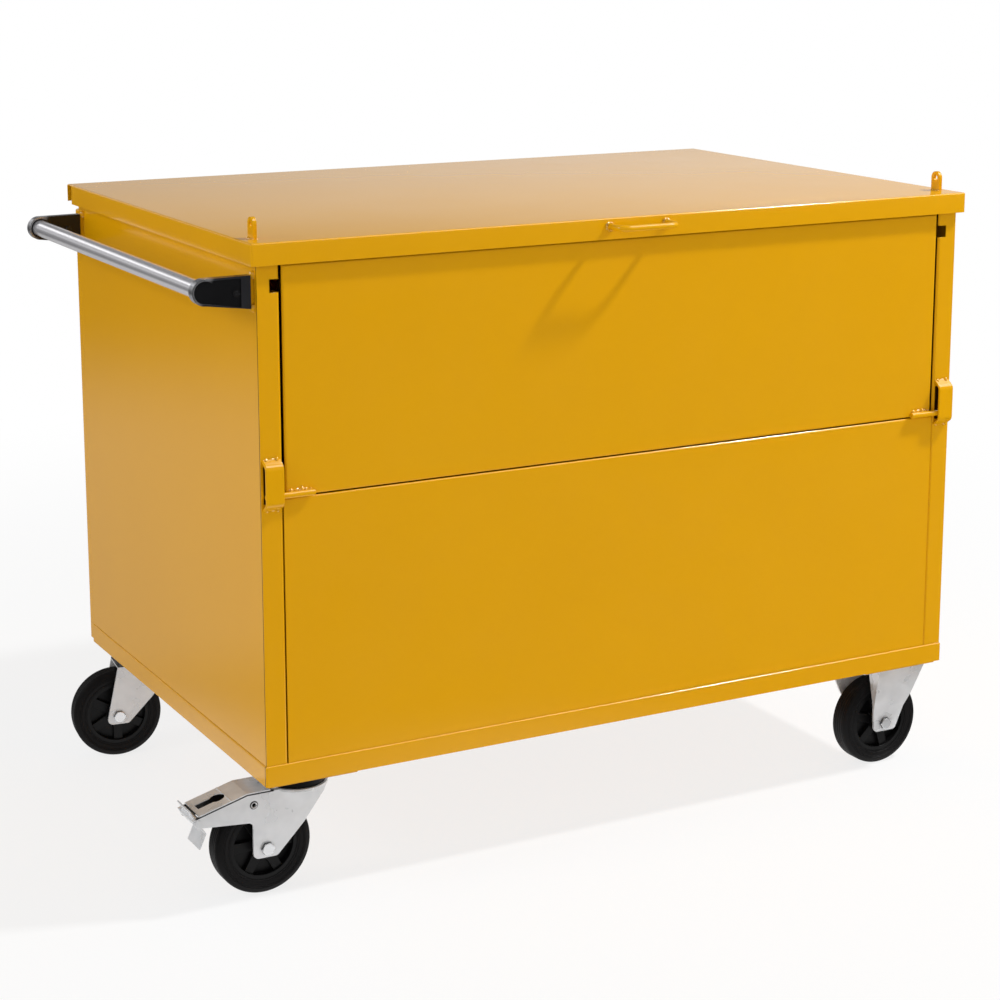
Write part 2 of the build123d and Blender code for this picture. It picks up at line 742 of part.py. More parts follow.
def strip(a, b, thick):
    """Straight strip between two points, seen edge on."""
    along = (b[0] - a[0], b[1] - a[1])
    length = sqrt(along[0] ** 2 + along[1] ** 2)
    middle = Pos((a[0] + b[0]) / 2, (a[1] + b[1]) / 2)
    return middle * Rot(0, 0, degrees(atan2(along[1], along[0]))) * Rectangle(length, thick)


def brake_lever():
    """Rocker on a pin between the arms: one tab stands up, the other hangs down with a bent tip."""
    x, z = lever_place()
    up = leaning((x, z), tab_up, 90 + tab_up_lean)
    knee = leaning((x, z), tab_knee, tab_knee_lean - 90)
    tip = leaning(knee, tab_tip, -90 - tab_tip_lean)
    side = strip((x, z), up, lever_t) + strip((x, z), knee, lever_t) + strip(knee, tip, lever_t)
    side += Pos(*knee) * Circle(lever_t / 2)
    lever = plate_xz(side, -lever_w / 2, lever_w / 2)
    lever += round_y(lever_hub_d, lever_gap - leg_in, leg_in - lever_gap, x, z)
    return lever - round_y(lever_pin_d + 2 * run_clear, -leg_in, leg_in, x, z)


def lever_pin():
    """Pin through both arms that the lever turns on."""
    x, z = lever_place()
    pin = round_y(lever_pin_d, -leg_out, leg_out, x, z)
    for side in (-1, 1):
        pin += round_y(lever_pin_head_d, *sorted((side * leg_out, side * (leg_out + eyelet_lip))), x, z)
    return pin


def fixed_leg():
    """Leg of a fixed bracket: leans in from the plate, then stands upright at the axle."""
    low = -axle_drop - leg_foot
    top = -plate_t / 2
    face = outline([(fixed_lead, top, 0),
                    (-fixed_lag, top, 0),
                    (-fixed_lag_low, -fixed_knee, 0),
                    (-leg_heel, low, leg_foot_r),
                    (leg_heel, low, leg_foot_r),
                    ((fixed_lead + leg_heel) / 2 + fixed_belly, low / 2, leg_belly_r)])
    outside = [(-fixed_top_out, 0), (-fixed_top_out, -plate_t), (-leg_out, -fixed_knee), (-leg_out, low)]
    inside = [(y + leg_t, z) for y, z in reversed(outside)]
    bend = Polygon(*outside, *inside, align=None)
    leg = plate_xz(face, -fixed_top_out, 0) & plate_yz(bend, -fixed_lag, fixed_lead)
    wing = Polygon((leg_t / 2 - fixed_top_out, top), (flange_depth - fixed_top_out, top),
                   (leg_t / 2 - leg_out, -fixed_knee), align=None)
    skew = degrees(atan2(fixed_lag - fixed_lag_low, fixed_knee + top))
    leg += Pos(-fixed_lag, 0, top) * Rot(0, -skew, 0) * Pos(0, 0, -top) * plate_yz(wing, 0, flange_t)
    return leg - round_y(axle_d + 2 * axle_clear, -leg_out, -leg_in, 0, -axle_drop)


def fixed_bracket():
    """Plate with two like legs, one turned half round."""
    leg = fixed_leg()
    return castor_plate() + leg + Rot(0, 0, 180) * leg


# Wheels, drawn about the wheel's middle with the axle along Y

def turned(points):
    """Solid of revolution about the axle from (radius, y, corner radius) points."""
    face = Rot(90, 0, 0) * outline([(r, -y, c) for r, y, c in points])
    return Rot(-90, 0, 0) * revolve(face, Axis.Z)


def tyre():
    """Solid rubber tyre with rounded shoulders and a moulded line on each side wall."""
    half = wheel_w / 2
    side = [(tyre_inner_d / 2, half - tyre_waist, 0),
            (wheel_d / 2 - tyre_shoulder_in, half, tyre_side_r),
            (wheel_d / 2, half - tyre_tread_in, tyre_shoulder_r)]
    body = turned([(r, -y, c) for r, y, c in side] + side[::-1])
    line_r = (tyre_line_d / 2 - tyre_line, tyre_line_d / 2)
    low, high = half - tyre_line, half + tyre_line
    line = turned([(line_r[0], low, 0), (line_r[1], low, 0), (line_r[1], high, 0), (line_r[0], high, 0)])
    return body - line - Rot(0, 0, 180) * line


def rim():
    """Plastic wheel centre: barrel, thin web, ribs and hub."""
    half = wheel_w / 2 - rim_inset
    hub_half = leg_in - hub_face_gap
    barrel_r = tyre_inner_d / 2
    body = round_y(2 * barrel_r, -half, half, 0, 0)
    body -= round_y(2 * (barrel_r - rim_wall), -half, half, 0, 0)
    body += round_y(2 * barrel_r - rim_wall, -web_t / 2, web_t / 2, 0, 0)
    rib_half = half - rib_inset
    for i in range(rib_count):
        rib = block(hub_d / 4, barrel_r - rim_wall / 2, -rib_half, rib_half, -rib_t / 2, rib_t / 2)
        body += Rot(0, 360 * i / rib_count, 0) * rib
    body += round_y(hub_d, -hub_half, hub_half, 0, 0)
    return body - round_y(sleeve_d + 2 * run_clear, -hub_half, hub_half, 0, 0)


def axle_sleeve():
    """Tube that the hub runs on, clamped between the legs."""
    bore = round_y(axle_d + 2 * axle_clear, -leg_in, leg_in, 0, 0)
    return round_y(sleeve_d, -leg_in, leg_in, 0, 0) - bore


def axle_bolt():
    """Hexagon bolt through legs and sleeve, its head at the front."""
    bolt = round_y(axle_d, -leg_out, leg_out + axle_nut_h + axle_end, 0, 0)
    return bolt + hexagon_y(axle_af, -leg_out - axle_head_h, -leg_out, 0, 0)


def axle_nut():
    """Nut on the axle bolt."""
    nut = hexagon_y(axle_af, leg_out, leg_out + axle_nut_h, 0, 0)
    return nut - round_y(axle_d + 2 * run_clear, leg_out, leg_out + axle_nut_h, 0, 0)


# Everything in its place

nodes = {"base_tray": base_tray(),
         "left_side_panel": side_panel(wall_x0, 1),
         "right_side_panel": side_panel(wall_x1, -1),
         "back_panel": back_panel(),
         "lower_front_panel": lower_front_panel(),
         "front_post_left": front_post(wall_x0, post_x0, post_x0),
         "front_post_right": front_post(post_x1, wall_x1, post_x1),
         "flap_panel": flap_panel(),
         "lid_panel": lid_panel(),
         "lid_handle": lid_handle(),
         "lid_lug_left": lug(lug_in_x, lug_in_y),
         "lid_lug_right": lug(base_l - lug_in_x, lug_in_y),
         "hinge_wall_leaves": Compound(children=[hinge_wall_leaf(x) for x in hinge_middles()]),
         "hinge_lid_leaves": Compound(children=[hinge_lid_leaf(x) for x in hinge_middles()]),
         "hinge_pins": Compound(children=[hinge_pin(x) for x in hinge_middles()]),
         "push_handle_tube": push_tube(),
         "handle_bolts": Compound(children=[handle_bolt(end) for end in castor_y])}

strap_x0 = wall_x0 + strap_inset
for side, span in zip(castor_x, both_ends(strap_x0, strap_x0 + strap_w)):
    nodes["flap_strap_" + side] = flap_strap(*span)
rod_x0 = strap_x0 + rod_end_inset
for side, span in zip(castor_x, both_ends(rod_x0, rod_x0 + rod_l)):
    nodes["flap_rod_" + side] = flap_rod(*span)
for end in castor_y:
    nodes["handle_bracket_" + end] = handle_bracket(end)
    nodes["handle_tab_" + end] = handle_tab(end)

plate_bolts = []
for side, x in castor_x.items():
    nodes["castor_rail_" + side] = castor_rail(x)
    for end, y in castor_y.items():
        here = Pos(x, y, castor_h)
        plate_bolts += [here * bolt for bolt in bolt_castor(plate_t)]
nodes["castor_plate_bolts"] = Compound(children=plate_bolts)

fork_shapes = {"front": brake_fork(), "rear": plain_fork()}
turns = {"front": 0.0, "rear": rear_turn}
wheel_places = {}
balls = []
for end, y in castor_y.items():
    here = Pos(castor_x["left"], y, castor_h)
    turned_here = here * Rot(0, 0, turns[end])
    nodes["swivel_plate_" + end] = here * swivel_plate()
    nodes["kingpin_" + end] = here * kingpin()
    balls += [here * ball for ball in bearing_balls()]
    nodes["swivel_fork_" + end] = turned_here * fork_shapes[end]
    nodes["swivel_seal_" + end] = turned_here * seal_ring()
    wheel_places["left_" + end] = turned_here * Pos(-trail, 0, -axle_drop)
    there = Pos(castor_x["right"], y, castor_h)
    nodes["fixed_bracket_" + end] = there * fixed_bracket()
    wheel_places["right_" + end] = there * Pos(0, 0, -axle_drop)

nodes["swivel_balls"] = Compound(children=balls)

front_castor = Pos(castor_x["left"], castor_y["front"], castor_h)
nodes["brake_leaf"] = front_castor * brake_leaf()
nodes["brake_lever"] = front_castor * brake_lever()
nodes["lever_pin"] = front_castor * lever_pin()
nodes["brake_eyelets"] = Compound(children=[front_castor * rivet for rivet in brake_eyelets()])

wheel_pieces = {"tyre": tyre(), "wheel_rim": rim()}
for corner, place in wheel_places.items():
    for name, piece in wheel_pieces.items():
        nodes[f"{name}_{corner}"] = place * Rot(0, wheel_turns[corner], 0) * piece
axle_pieces = {"axle_sleeve": axle_sleeve(), "axle_bolt": axle_bolt(), "axle_nut": axle_nut()}
for name, piece in axle_pieces.items():
    for end in castor_y:
        nodes[f"{name}_left_{end}"] = wheel_places["left_" + end] * piece
    pair = [wheel_places["right_" + end] * piece for end in castor_y]
    nodes[f"{name}s_right"] = Compound(children=pair)

os.makedirs("parts", exist_ok=True)
for name, piece in nodes.items():
    export_step(Pos(-middle_x, -middle_y, 0) * piece, f"parts/{name}.step")
print(len(nodes), "nodes, middle of the base corner frame:", middle_x, middle_y)
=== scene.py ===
"""Looks of a lidded box trolley: finishes, rounded sheet edges, weld beads, tyres and a plain studio.

Laid out as an add-on and run as a script. Metres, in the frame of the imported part.
"""
import json
from math import pi, radians

import bpy
import numpy as np
from bpy.props import FloatProperty, FloatVectorProperty, IntProperty, PointerProperty
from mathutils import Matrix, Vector


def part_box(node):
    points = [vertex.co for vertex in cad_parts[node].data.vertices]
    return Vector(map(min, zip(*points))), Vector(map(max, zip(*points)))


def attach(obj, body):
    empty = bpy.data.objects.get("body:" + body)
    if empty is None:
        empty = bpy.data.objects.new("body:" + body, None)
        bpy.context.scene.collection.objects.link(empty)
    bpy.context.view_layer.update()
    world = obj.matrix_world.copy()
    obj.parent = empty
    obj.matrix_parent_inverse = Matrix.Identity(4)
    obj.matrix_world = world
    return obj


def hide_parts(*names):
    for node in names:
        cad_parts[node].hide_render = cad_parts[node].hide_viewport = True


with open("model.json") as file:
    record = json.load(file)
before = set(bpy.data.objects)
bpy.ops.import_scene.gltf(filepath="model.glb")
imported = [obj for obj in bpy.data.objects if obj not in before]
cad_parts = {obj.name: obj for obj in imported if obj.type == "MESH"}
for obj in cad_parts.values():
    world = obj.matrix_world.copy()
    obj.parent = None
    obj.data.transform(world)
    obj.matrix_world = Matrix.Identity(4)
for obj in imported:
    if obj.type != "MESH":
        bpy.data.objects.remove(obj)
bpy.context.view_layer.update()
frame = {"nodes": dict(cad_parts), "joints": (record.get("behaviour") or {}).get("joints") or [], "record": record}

bl_info = {
    "name": "Lidded box trolley",
    "version": (1, 0, 0),
    "blender": (4, 5, 0),
    "location": "3D view > Sidebar > Trolley",
    "description": "Finishes and fine detail of a sheet steel box trolley",
    "category": "Object",
}

body_of = {node: body for body, nodes in frame["record"]["behaviour"]["bodies"].items() for node in nodes}
slot_of = {node: thing.data.materials[0].name for node, thing in frame["nodes"].items()}
joint = {j["name"]: j for j in frame["joints"]}
wheels = ("left_front", "left_rear", "right_front", "right_rear")
finishes = {}


# Shader maths

class Signal:
    """A shader socket that takes part in Python expressions; each operation adds a Math node."""

    def __init__(self, nodes, socket):
        self.nodes, self.socket = nodes, socket

    def __add__(self, other):
        return self.nodes.math("ADD", self, other)

    def __sub__(self, other):
        return self.nodes.math("SUBTRACT", self, other)

    def __rsub__(self, other):
        return self.nodes.math("SUBTRACT", other, self)

    def __mul__(self, other):
        return self.nodes.math("MULTIPLY", self, other)

    def __pow__(self, other):
        return self.nodes.math("POWER", self, other)

    def __abs__(self):
        return self.nodes.math("ABSOLUTE", self)

    __radd__ = __add__
    __rmul__ = __mul__

    def least(self, other):
        """The smaller of two values."""
        return self.nodes.math("MINIMUM", self, other)

    def between(self, low, high):
        """0 below low, 1 above high and a smooth rise between them."""
        return self.nodes.add("ShaderNodeMapRange", {"interpolation_type": "SMOOTHSTEP"},
                              {"Value": self, "From Min": low, "From Max": high})

    def near(self, middle, reach, soft):
        """1 within reach of a middle value, falling to 0 over the soft distance beyond it."""
        return 1 - abs(self - middle).between(reach, reach + soft)


class Nodes:
    """A node tree that is written as expressions; add() makes any node."""

    def __init__(self, owner):
        owner.use_nodes = True
        self.owner, self.tree = owner, owner.node_tree
        self.tree.nodes.clear()

    def add(self, kind, settings=None, sockets=None, output=0):
        node = self.tree.nodes.new(kind)
        for key, value in (settings or {}).items():
            setattr(node, key, value)
        for key, value in (sockets or {}).items():
            self.feed(node.inputs[key], value)
        return Signal(self, node.outputs[output]) if len(node.outputs) else node

    def feed(self, socket, value):
        if isinstance(value, Signal):
            self.tree.links.new(value.socket, socket)
        else:
            socket.default_value = value

    def math(self, operation, *values):
        return self.add("ShaderNodeMath", {"operation": operation}, dict(enumerate(values)))

    def mix(self, factor, a, b):
        """Colour a where the factor is 0 and b where it is 1."""
        return self.add("ShaderNodeMix", {"data_type": "RGBA"}, {0: factor, 6: a, 7: b}, 2)

    def rays(self):
        """1 for rays from the camera, for reflected rays and for rays through glass, as three signals."""
        return [self.add("ShaderNodeLightPath", output=way)
                for way in ("Is Camera Ray", "Is Glossy Ray", "Is Transmission Ray")]

    def parts(self, vector):
        """The x, y and z of a vector."""
        return [self.add("ShaderNodeSeparateXYZ", sockets={0: vector}, output=axis) for axis in range(3)]


class Finish(Nodes):
    """A material with one principled shader whose varying inputs are fed from expressions."""

    def __init__(self, slot, **constants):
        super().__init__(bpy.data.materials.new(slot + "_finish"))
        self.shader = self.tree.nodes.new("ShaderNodeBsdfPrincipled")
        self.add("ShaderNodeOutputMaterial", sockets={"Surface": Signal(self, self.shader.outputs[0])})
        for name, value in constants.items():
            self.shader.inputs[name.replace("_", " ")].default_value = value
        finishes[slot] = self.owner

    def set(self, **inputs):
        for name, value in inputs.items():
            self.feed(self.shader.inputs[name.replace("_", " ")], value)

    def place(self):
        """Where a point is, in the part's frame."""
        return self.add("ShaderNodeTexCoord", output="Object")

    def noise(self, scale, detail=2.0, stretch=(1.0, 1.0, 1.0)):
        """Cloud noise with the given count of features to a metre, drawn out along an axis by stretch."""
        place = self.place()
        if stretch != (1.0, 1.0, 1.0):
            place = self.add("ShaderNodeMapping", sockets={"Vector": place, "Scale": stretch})
        return self.add("ShaderNodeTexNoise", sockets={"Vector": place, "Scale": scale, "Detail": detail})

    def relief(self, height):
        """Fine relief from a height in metres."""
        bump = {"Strength": 1.0, "Distance": 1.0, "Height": height}
        self.set(Normal=self.add("ShaderNodeBump", sockets=bump))


def middle(node):
    """Middle and half sizes of a CAD node's box."""
    low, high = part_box(node)
    return (low + high) / 2, (high - low) / 2


def powder_coat(look):
    """Glossy powder coat: faint clouds of tone and gloss, orange peel, slow waves of flat sheet, painted shade in
    the gaps.
    """
    coat = Finish("yellow_paint", IOR=1.5)
    tone = coat.mix(coat.noise(5.0), (*look.paint_shade, 1), (*look.paint, 1))
    # painted shade: where the mask is 1 the base colour turns near-black
    coat.set(Base_Color=coat.mix(painted_gap_shade(coat), tone, (*look.gap, 1)),
             Roughness=look.paint_rough - 0.03 + 0.06 * coat.noise(11.0))
    coat.relief(look.peel * coat.noise(450.0, 1.0) + look.wave * coat.noise(2.6, 0.0))


def painted_gap_shade(coat):
    """Mask of painted shade, 1 where shade falls, else 0: in the gaps round the flap, on the posts behind the
    straps and in the seams along the upright front corners."""
    x, y, z = coat.parts(coat.place())
    low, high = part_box("flap_panel")
    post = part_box("front_post_right")[0]
    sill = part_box("lower_front_panel")[1].z
    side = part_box("left_side_panel")[0]
    strap, strap_half = middle("flap_strap_right")
    centre = (low.x + high.x) / 2
    out = abs(x - centre)
    gap = (high.x + post.x) / 2 - centre
    end = centre - side.x
    deep = (y - low.y).near(0.0225, 0.0175, 0.003)
    beside = out.near(gap, 0.0032, 0.001) * z.near((low.z + high.z) / 2, (high.z - low.z) / 2, 0.001)
    below = z.near((sill + low.z) / 2, 0.0012, 0.0006) * (1 - out.between(gap, gap + 0.002))
    behind = (out.near(strap.x - centre, 0.0125, 0.002) * y.near(post.y, 0.0004, 0.0004)
              * z.near(strap.z, strap_half.z - 0.014, 0.004))
    seam = (0.85 * y.near(side.y, 0.0007, 0.0006) * out.between(end - 0.003, end - 0.0015)
            * z.near(0.6, 0.4, 0.01))
    return (deep * (beside + below) + behind + seam).between(0, 1)


def gloss_coat(look, name, ior, lumps):
    """The same paint on welds and small bars: glossier, for it runs and pools there, over soft lumps."""
    coat = Finish(name, IOR=ior, Base_Color=(*look.paint, 1))
    coat.set(Roughness=0.04 + 0.06 * coat.noise(180.0))
    coat.relief(lumps * coat.noise(260.0, 2.0))


def zinc_plate(look, name, with_painted_shade):
    """Satin zinc: a mottled tone, patches of duller gloss and fine rolling marks, and, where asked, painted shade
    under the brake leaf.
    """
    zinc = Finish(name, Metallic=look.zinc_metal)
    mottle = zinc.noise(30.0, 2.0).between(0.25, 0.75)
    tone = zinc.mix(mottle, (*look.zinc_shade, 1), (*look.zinc, 1))
    if with_painted_shade:
        # painted shade under the brake leaf
        tone = zinc.mix(leaf_shade_mask(zinc), tone, (*look.leaf_shade_colour, 1))
    zinc.set(Base_Color=tone, Roughness=look.zinc_rough - 0.05 + 0.12 * mottle)
    zinc.relief(0.000003 * zinc.noise(120.0, 3.0, (1.0, 1.0, 7.0)))


def leaf_shade_mask(zinc):
    """Mask of painted shade, 1 where shade falls, else 0: between the arms under the brake leaf, along the joint
    of leaf and arms and round the eyelets.

    The depth is the smaller one below two planes, those of the largest upward triangles of the leaf's sloped
    and of its flatter part."""
    points, faces = joined("brake_leaf")
    corners = points[faces]
    square = np.cross(corners[:, 1] - corners[:, 0], corners[:, 2] - corners[:, 0])
    sloped = square[:, 0] < -0.25 * np.linalg.norm(square, axis=1)
    x, y, z = zinc.parts(zinc.place())
    depths = []
    for part in (sloped, ~sloped):
        most = np.argmax(np.where(part, square[:, 2], 0))
        normal = unit(square[most])
        depths.append(float(normal @ corners[most, 0]) - (float(normal[0]) * x + float(normal[2]) * z))
    depth = depths[0].least(depths[1])
    leaf, half = middle("brake_leaf")
    eye, eye_half = middle("brake_eyelets")
    outer = abs(y - leaf.y).between(half.y - 0.0035, half.y - 0.0025)
    inside = (1 - outer) * depth.near(0.0215, 0.02, 0.0006)
    joint_line = outer * depth.near(0.003, 0.0009, 0.0004)
    along = x.near(leaf.x, half.x + 0.004, 0.004)
    out = ((x - eye.x) ** 2.0 + (z - eye.z) ** 2.0) ** 0.5
    eye_line = 0.8 * outer * out.near(eye_half.z, 0.0007, 0.0005)
    return (along * (inside + joint_line) + eye_line).between(0, 1)


def bolt_zinc(look, name, tone):
    """Axle bolts and nuts: glossy zinc, bright on the ends and much darker on the flats, a painted shade there."""
    zinc = Finish(name, Metallic=0.7, Base_Color=(*[tone * c for c in look.zinc], 1))
    zinc.set(Roughness=0.18 + 0.12 * zinc.noise(90.0, 3.0))


def bright_zinc(look):
    """Paler zinc on the eyelets and on the rounded sheared edges, a painted highlight along those edges: little
    mottle and fine rubbing marks.
    """
    zinc = Finish("bright_zinc", Metallic=0.6)
    marks = zinc.noise(70.0, 3.0, (1.0, 6.0, 1.0))
    tone = zinc.mix(marks, (*[0.94 * c for c in look.bright], 1), (*look.bright, 1))
    # painted shade under the brake leaf, on the paler edges too
    zinc.set(Base_Color=zinc.mix(leaf_shade_mask(zinc), tone, (*look.leaf_shade_colour, 1)), Roughness=0.16 + 0.08 * marks)


def black_oxide(look):
    """Blackened bolts: dark steel with a thin oily gloss."""
    black = Finish("black_steel", Base_Color=(*look.oxide, 1), IOR=1.6)
    black.set(Roughness=0.22 + 0.1 * black.noise(300.0))
    black.relief(0.00001 * black.noise(800.0, 1.0))


def polished_steel(look):
    """Polished tube: bright metal with fine rings round it from the polishing belt."""
    steel = Finish("polished_tube", Metallic=0.72)
    rings = steel.noise(60.0, 3.0, (0.3, 14.0, 0.3))
    steel.set(Base_Color=steel.mix(rings, (*[0.92 * c for c in look.steel], 1), (*look.steel, 1)),
              Roughness=look.steel_rough + 0.05 * rings)


def moulded_plastic(slot, colour, rough, grain):
    """Black moulding: a fine grain and a slow change of gloss."""
    black = Finish(slot, Base_Color=(*colour, 1), IOR=1.28)
    black.set(Roughness=rough - 0.05 + 0.1 * black.noise(30.0))
    black.relief(grain * black.noise(900.0, 1.0))


def bracket_plastic(look):
    """Black moulding with a paler rim round its recess, which paints shade in the recess, and a painted reflection
    on its nose: a silver, metallic band.

    The rim is what stands at the outer level, the sheen starts a little inside the nose's radius from the
    tube's axis and ends past the tube, further along the top than along the bottom."""
    black = Finish("bracket_plastic", IOR=1.48)
    x, y, z = black.parts(black.place())
    tube = middle("push_handle_tube")[0]
    out = ((x - tube.x) ** 2.0 + (z - tube.z) ** 2.0) ** 0.5
    past = (x - tube.x) - 0.5 * (z - tube.z)
    # painted reflection: silver band on the nose, longer along the top than along the bottom
    sheen = out.between(0.0166, 0.018) * (1 - past.between(-0.014, 0.008))
    front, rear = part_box("handle_bracket_front")[0].y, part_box("handle_bracket_rear")[1].y
    level = (rear - front) / 2
    # painted shade: the recess darker than the rim round it
    rim = abs(y - (front + rear) / 2).between(level - 0.002, level - 0.0008)
    tone = black.mix(rim, (*look.bracket, 1), (*[3.2 * c for c in look.bracket], 1))
    black.set(Base_Color=black.mix(sheen, tone, (*look.sheen, 1)), Metallic=0.9 * sheen,
              Roughness=0.2 + 0.08 * black.noise(30.0))
    black.relief(0.000006 * black.noise(900.0, 1.0))


def tyre_rubber(look):
    """Solid black rubber: greyer bloom in patches and a fine grain."""
    rubber = Finish("tyre_rubber", IOR=1.25)
    bloom = rubber.noise(24.0, 5.0)
    rubber.set(Base_Color=rubber.mix(bloom, (*look.rubber, 1), (*[1.6 * c for c in look.rubber], 1)),
               Roughness=0.5 + 0.14 * bloom)
    rubber.relief(0.00002 * rubber.noise(700.0, 2.0))


# Surfaces

def unit(vectors):
    """Vectors of length 1 along the given ones."""
    return vectors / np.maximum(np.linalg.norm(vectors, axis=-1, keepdims=True), 1e-15)


def rounded(corners, radii, step):
    """Path through corners: straight runs joined by arcs of the given radii, points about a step apart.

    An arc starts and ends where the circle touches the two runs, radius / tan(half the corner's angle) from
    the corner."""
    corners = np.asarray(corners, float)
    parts = [corners[:1]]
    for before, corner, after, radius in zip(corners, corners[1:], corners[2:], radii):
        back, on = unit(before - corner), unit(after - corner)
        half = np.arccos(np.clip(back @ on, -1, 1)) / 2
        if radius <= 0:
            parts.append(corner[None])
            continue
        centre = corner + unit(back + on) * radius / np.sin(half)
        out = unit(corner + back * radius / np.tan(half) - centre)
        turn = np.linspace(0, pi - 2 * half, max(4, int(radius * (pi - 2 * half) / step) + 2))[:, None]
        parts.append(centre + radius * (np.cos(turn) * out - np.sin(turn) * back))
    rough = np.concatenate(parts + [corners[-1:]])
    length = np.concatenate([[0.0], np.cumsum(np.linalg.norm(np.diff(rough, axis=0), axis=1))])
    places = np.unique(np.concatenate([length, np.arange(0, length[-1], step)]))
    places = places[np.concatenate([[True], np.diff(places) > step * 0.05])]
    return np.stack([np.interp(places, length, column) for column in rough.T], axis=1)


def carried(path, radius, count=24, closed=False, ripple=0.0, pitch=1.0, taper=0.0):
    """Circle carried along a path: centre + radius * (cos * side + sin * up), both square to the path.

    The radius can swell once each pitch, as the absolute cosine of the distance, in arcs that lag at the
    sides, and more slowly by a second wave, and be drawn in towards both ends as the root of 1 - x ** taper."""
    path = np.asarray(path, float)
    ahead = np.roll(path, -1, axis=0) - np.roll(path, 1, axis=0) if closed else np.gradient(path, axis=0)
    along = unit(ahead)
    spare = np.where(np.abs(along[:, 2:]) > 0.9, [[1.0, 0.0, 0.0]], [[0.0, 0.0, 1.0]])
    side = unit(np.cross(along, spare))
    up = np.cross(side, along)
    s = np.concatenate([[0.0], np.cumsum(np.linalg.norm(np.diff(path, axis=0), axis=1))])[:, None]
    turn = np.linspace(0, 2 * pi, count, endpoint=False)[None]
    swell = 1 - ripple + ripple * np.abs(np.cos(pi * (s + 0.35 * pitch * np.cos(turn)) / pitch))
    swell = swell * (1 + 0.6 * ripple * np.sin(2 * pi * s / (2.7 * pitch) + 1.0))
    if taper:
        x = 2 * s / s[-1] - 1
        swell = swell * np.sqrt(np.clip(1 - np.abs(x) ** taper, 0.02, 1))
    ring = np.cos(turn)[..., None] * side[:, None] + np.sin(turn)[..., None] * up[:, None]
    return path[:, None] + radius * swell[..., None] * ring


def strip(path, across, thick, edge):
    """Flat bar carried along a path that lies square to X: path + u * X + v * n, n square to the path.

    The pairs u, v go round a rectangle whose corners are arcs of the edge's radius."""
    path = np.asarray(path, float)
    along = unit(np.gradient(path, axis=0))
    square = np.stack([np.zeros(len(path)), -along[:, 2], along[:, 1]], 1)
    u, v = across / 2, thick / 2
    outline = rounded([(0, -v), (u, -v), (u, v), (-u, v), (-u, -v), (0, -v)], [edge] * 4, 0.0015)[:-1]
    u, v = outline[None, :, :1], outline[None, :, 1:]
    return path[:, None] + u * [1.0, 0.0, 0.0] + v * square[:, None]


def lathe(radius, along, centre, axis, count=96):
    """Rings about an axle: centre + along * axle + radius * (cos * a + sin * b).

    The radius is one value for each ring, or one for each of its points."""
    axle = unit(np.asarray(axis, float))
    a = unit(np.cross(axle, [0.0, 0.0, 1.0]))
    b = np.cross(axle, a)
    turn = np.linspace(0, 2 * pi, count, endpoint=False)[:, None]
    radius = np.asarray(radius, float).reshape(len(along), -1)[..., None]
    hubs = np.asarray(centre, float) + np.reshape(along, (-1, 1, 1)) * axle
    return hubs + radius * (np.cos(turn) * a + np.sin(turn) * b)


def hexagon(across, along, ends, count=96):
    """Radius of a hexagon bar with turned ends: the smaller of the hexagon and a cone at each end.

    The hexagon is half the width across flats over the cosine of the angle from the nearest flat's middle.
    The cones start at 0.475 of the width and grow by 1.7 times the distance from their end."""
    turn = np.linspace(0, 2 * pi, count, endpoint=False)[None]
    side = across / 2 / np.cos(turn % (pi / 3) - pi / 6)
    along = np.asarray(along, float)[:, None]
    cones = [0.475 * across + 1.7 * np.abs(along - end) for end in ends]
    return np.minimum.reduce([np.broadcast_to(limit, (len(along), count)) for limit in (side, *cones)])


class Shell:
    """Points and faces of one piece, gathered from grids."""

    def __init__(self):
        self.points, self.faces, self.count = [], [], 0

    def grid(self, points, rows_closed=False):
        """Joins neighbouring rows and columns by four-sided faces, the columns round and round.

        Open ends are closed by a fan about the end row's middle. The faces are turned so that the sum of
        their corners' triple products, six times the volume, is positive."""
        rows, columns = points.shape[:2]
        index = np.arange(rows * columns).reshape(rows, columns)
        flat = points.reshape(-1, 3)
        fans = np.empty((0, 3), int)
        if not rows_closed:
            flat = np.concatenate([flat, points[0].mean(0, keepdims=True), points[-1].mean(0, keepdims=True)])
            first, last = index[0], index[-1]
            middle = np.full(columns, rows * columns)
            fans = np.concatenate([np.stack([middle, np.roll(first, -1), first], 1),
                                   np.stack([middle + 1, last, np.roll(last, -1)], 1)])
        else:
            index = np.concatenate([index, index[:1]])
        index = np.concatenate([index, index[:, :1]], axis=1)
        quads = np.stack([index[:-1, :-1], index[:-1, 1:], index[1:, 1:], index[1:, :-1]], -1)
        quads = quads.reshape(-1, 4)
        near = flat - flat.mean(0)
        corners = np.concatenate([near[quads[:, :3]], near[quads[:, [0, 2, 3]]], near[fans]])
        volume = np.einsum("ij,ij->", corners[:, 0], np.cross(corners[:, 1], corners[:, 2]))
        if volume < 0:
            quads, fans = quads[:, ::-1], fans[:, ::-1]
        self.points.append(flat)
        self.faces += (quads + self.count).tolist() + (fans + self.count).tolist()
        self.count += len(flat)
        return self

    def place(self, name, slot, body, replaced=(), sharp=50.0, finish=None):
        """The gathered grids as one object on a body."""
        points = np.concatenate(self.points).tolist()
        return stand(name, points, self.faces, slot, body, replaced, sharp, finish)


def stand(name, points, faces, slot, body, replaced=(), sharp=50.0, finish=None):
    """A mesh object in its slot's or another finish, riding on a body and standing for the replaced nodes."""
    mesh = bpy.data.meshes.new(name)
    mesh.from_pydata(points, [], faces)
    mesh.shade_smooth()
    mesh.set_sharp_from_angle(angle=radians(sharp))
    mesh.materials.append(finishes[finish or slot])
    piece = bpy.data.objects.new(name, mesh)
    bpy.context.scene.collection.objects.link(piece)
    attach(piece, body)
    if replaced:
        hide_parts(*replaced)
    return piece


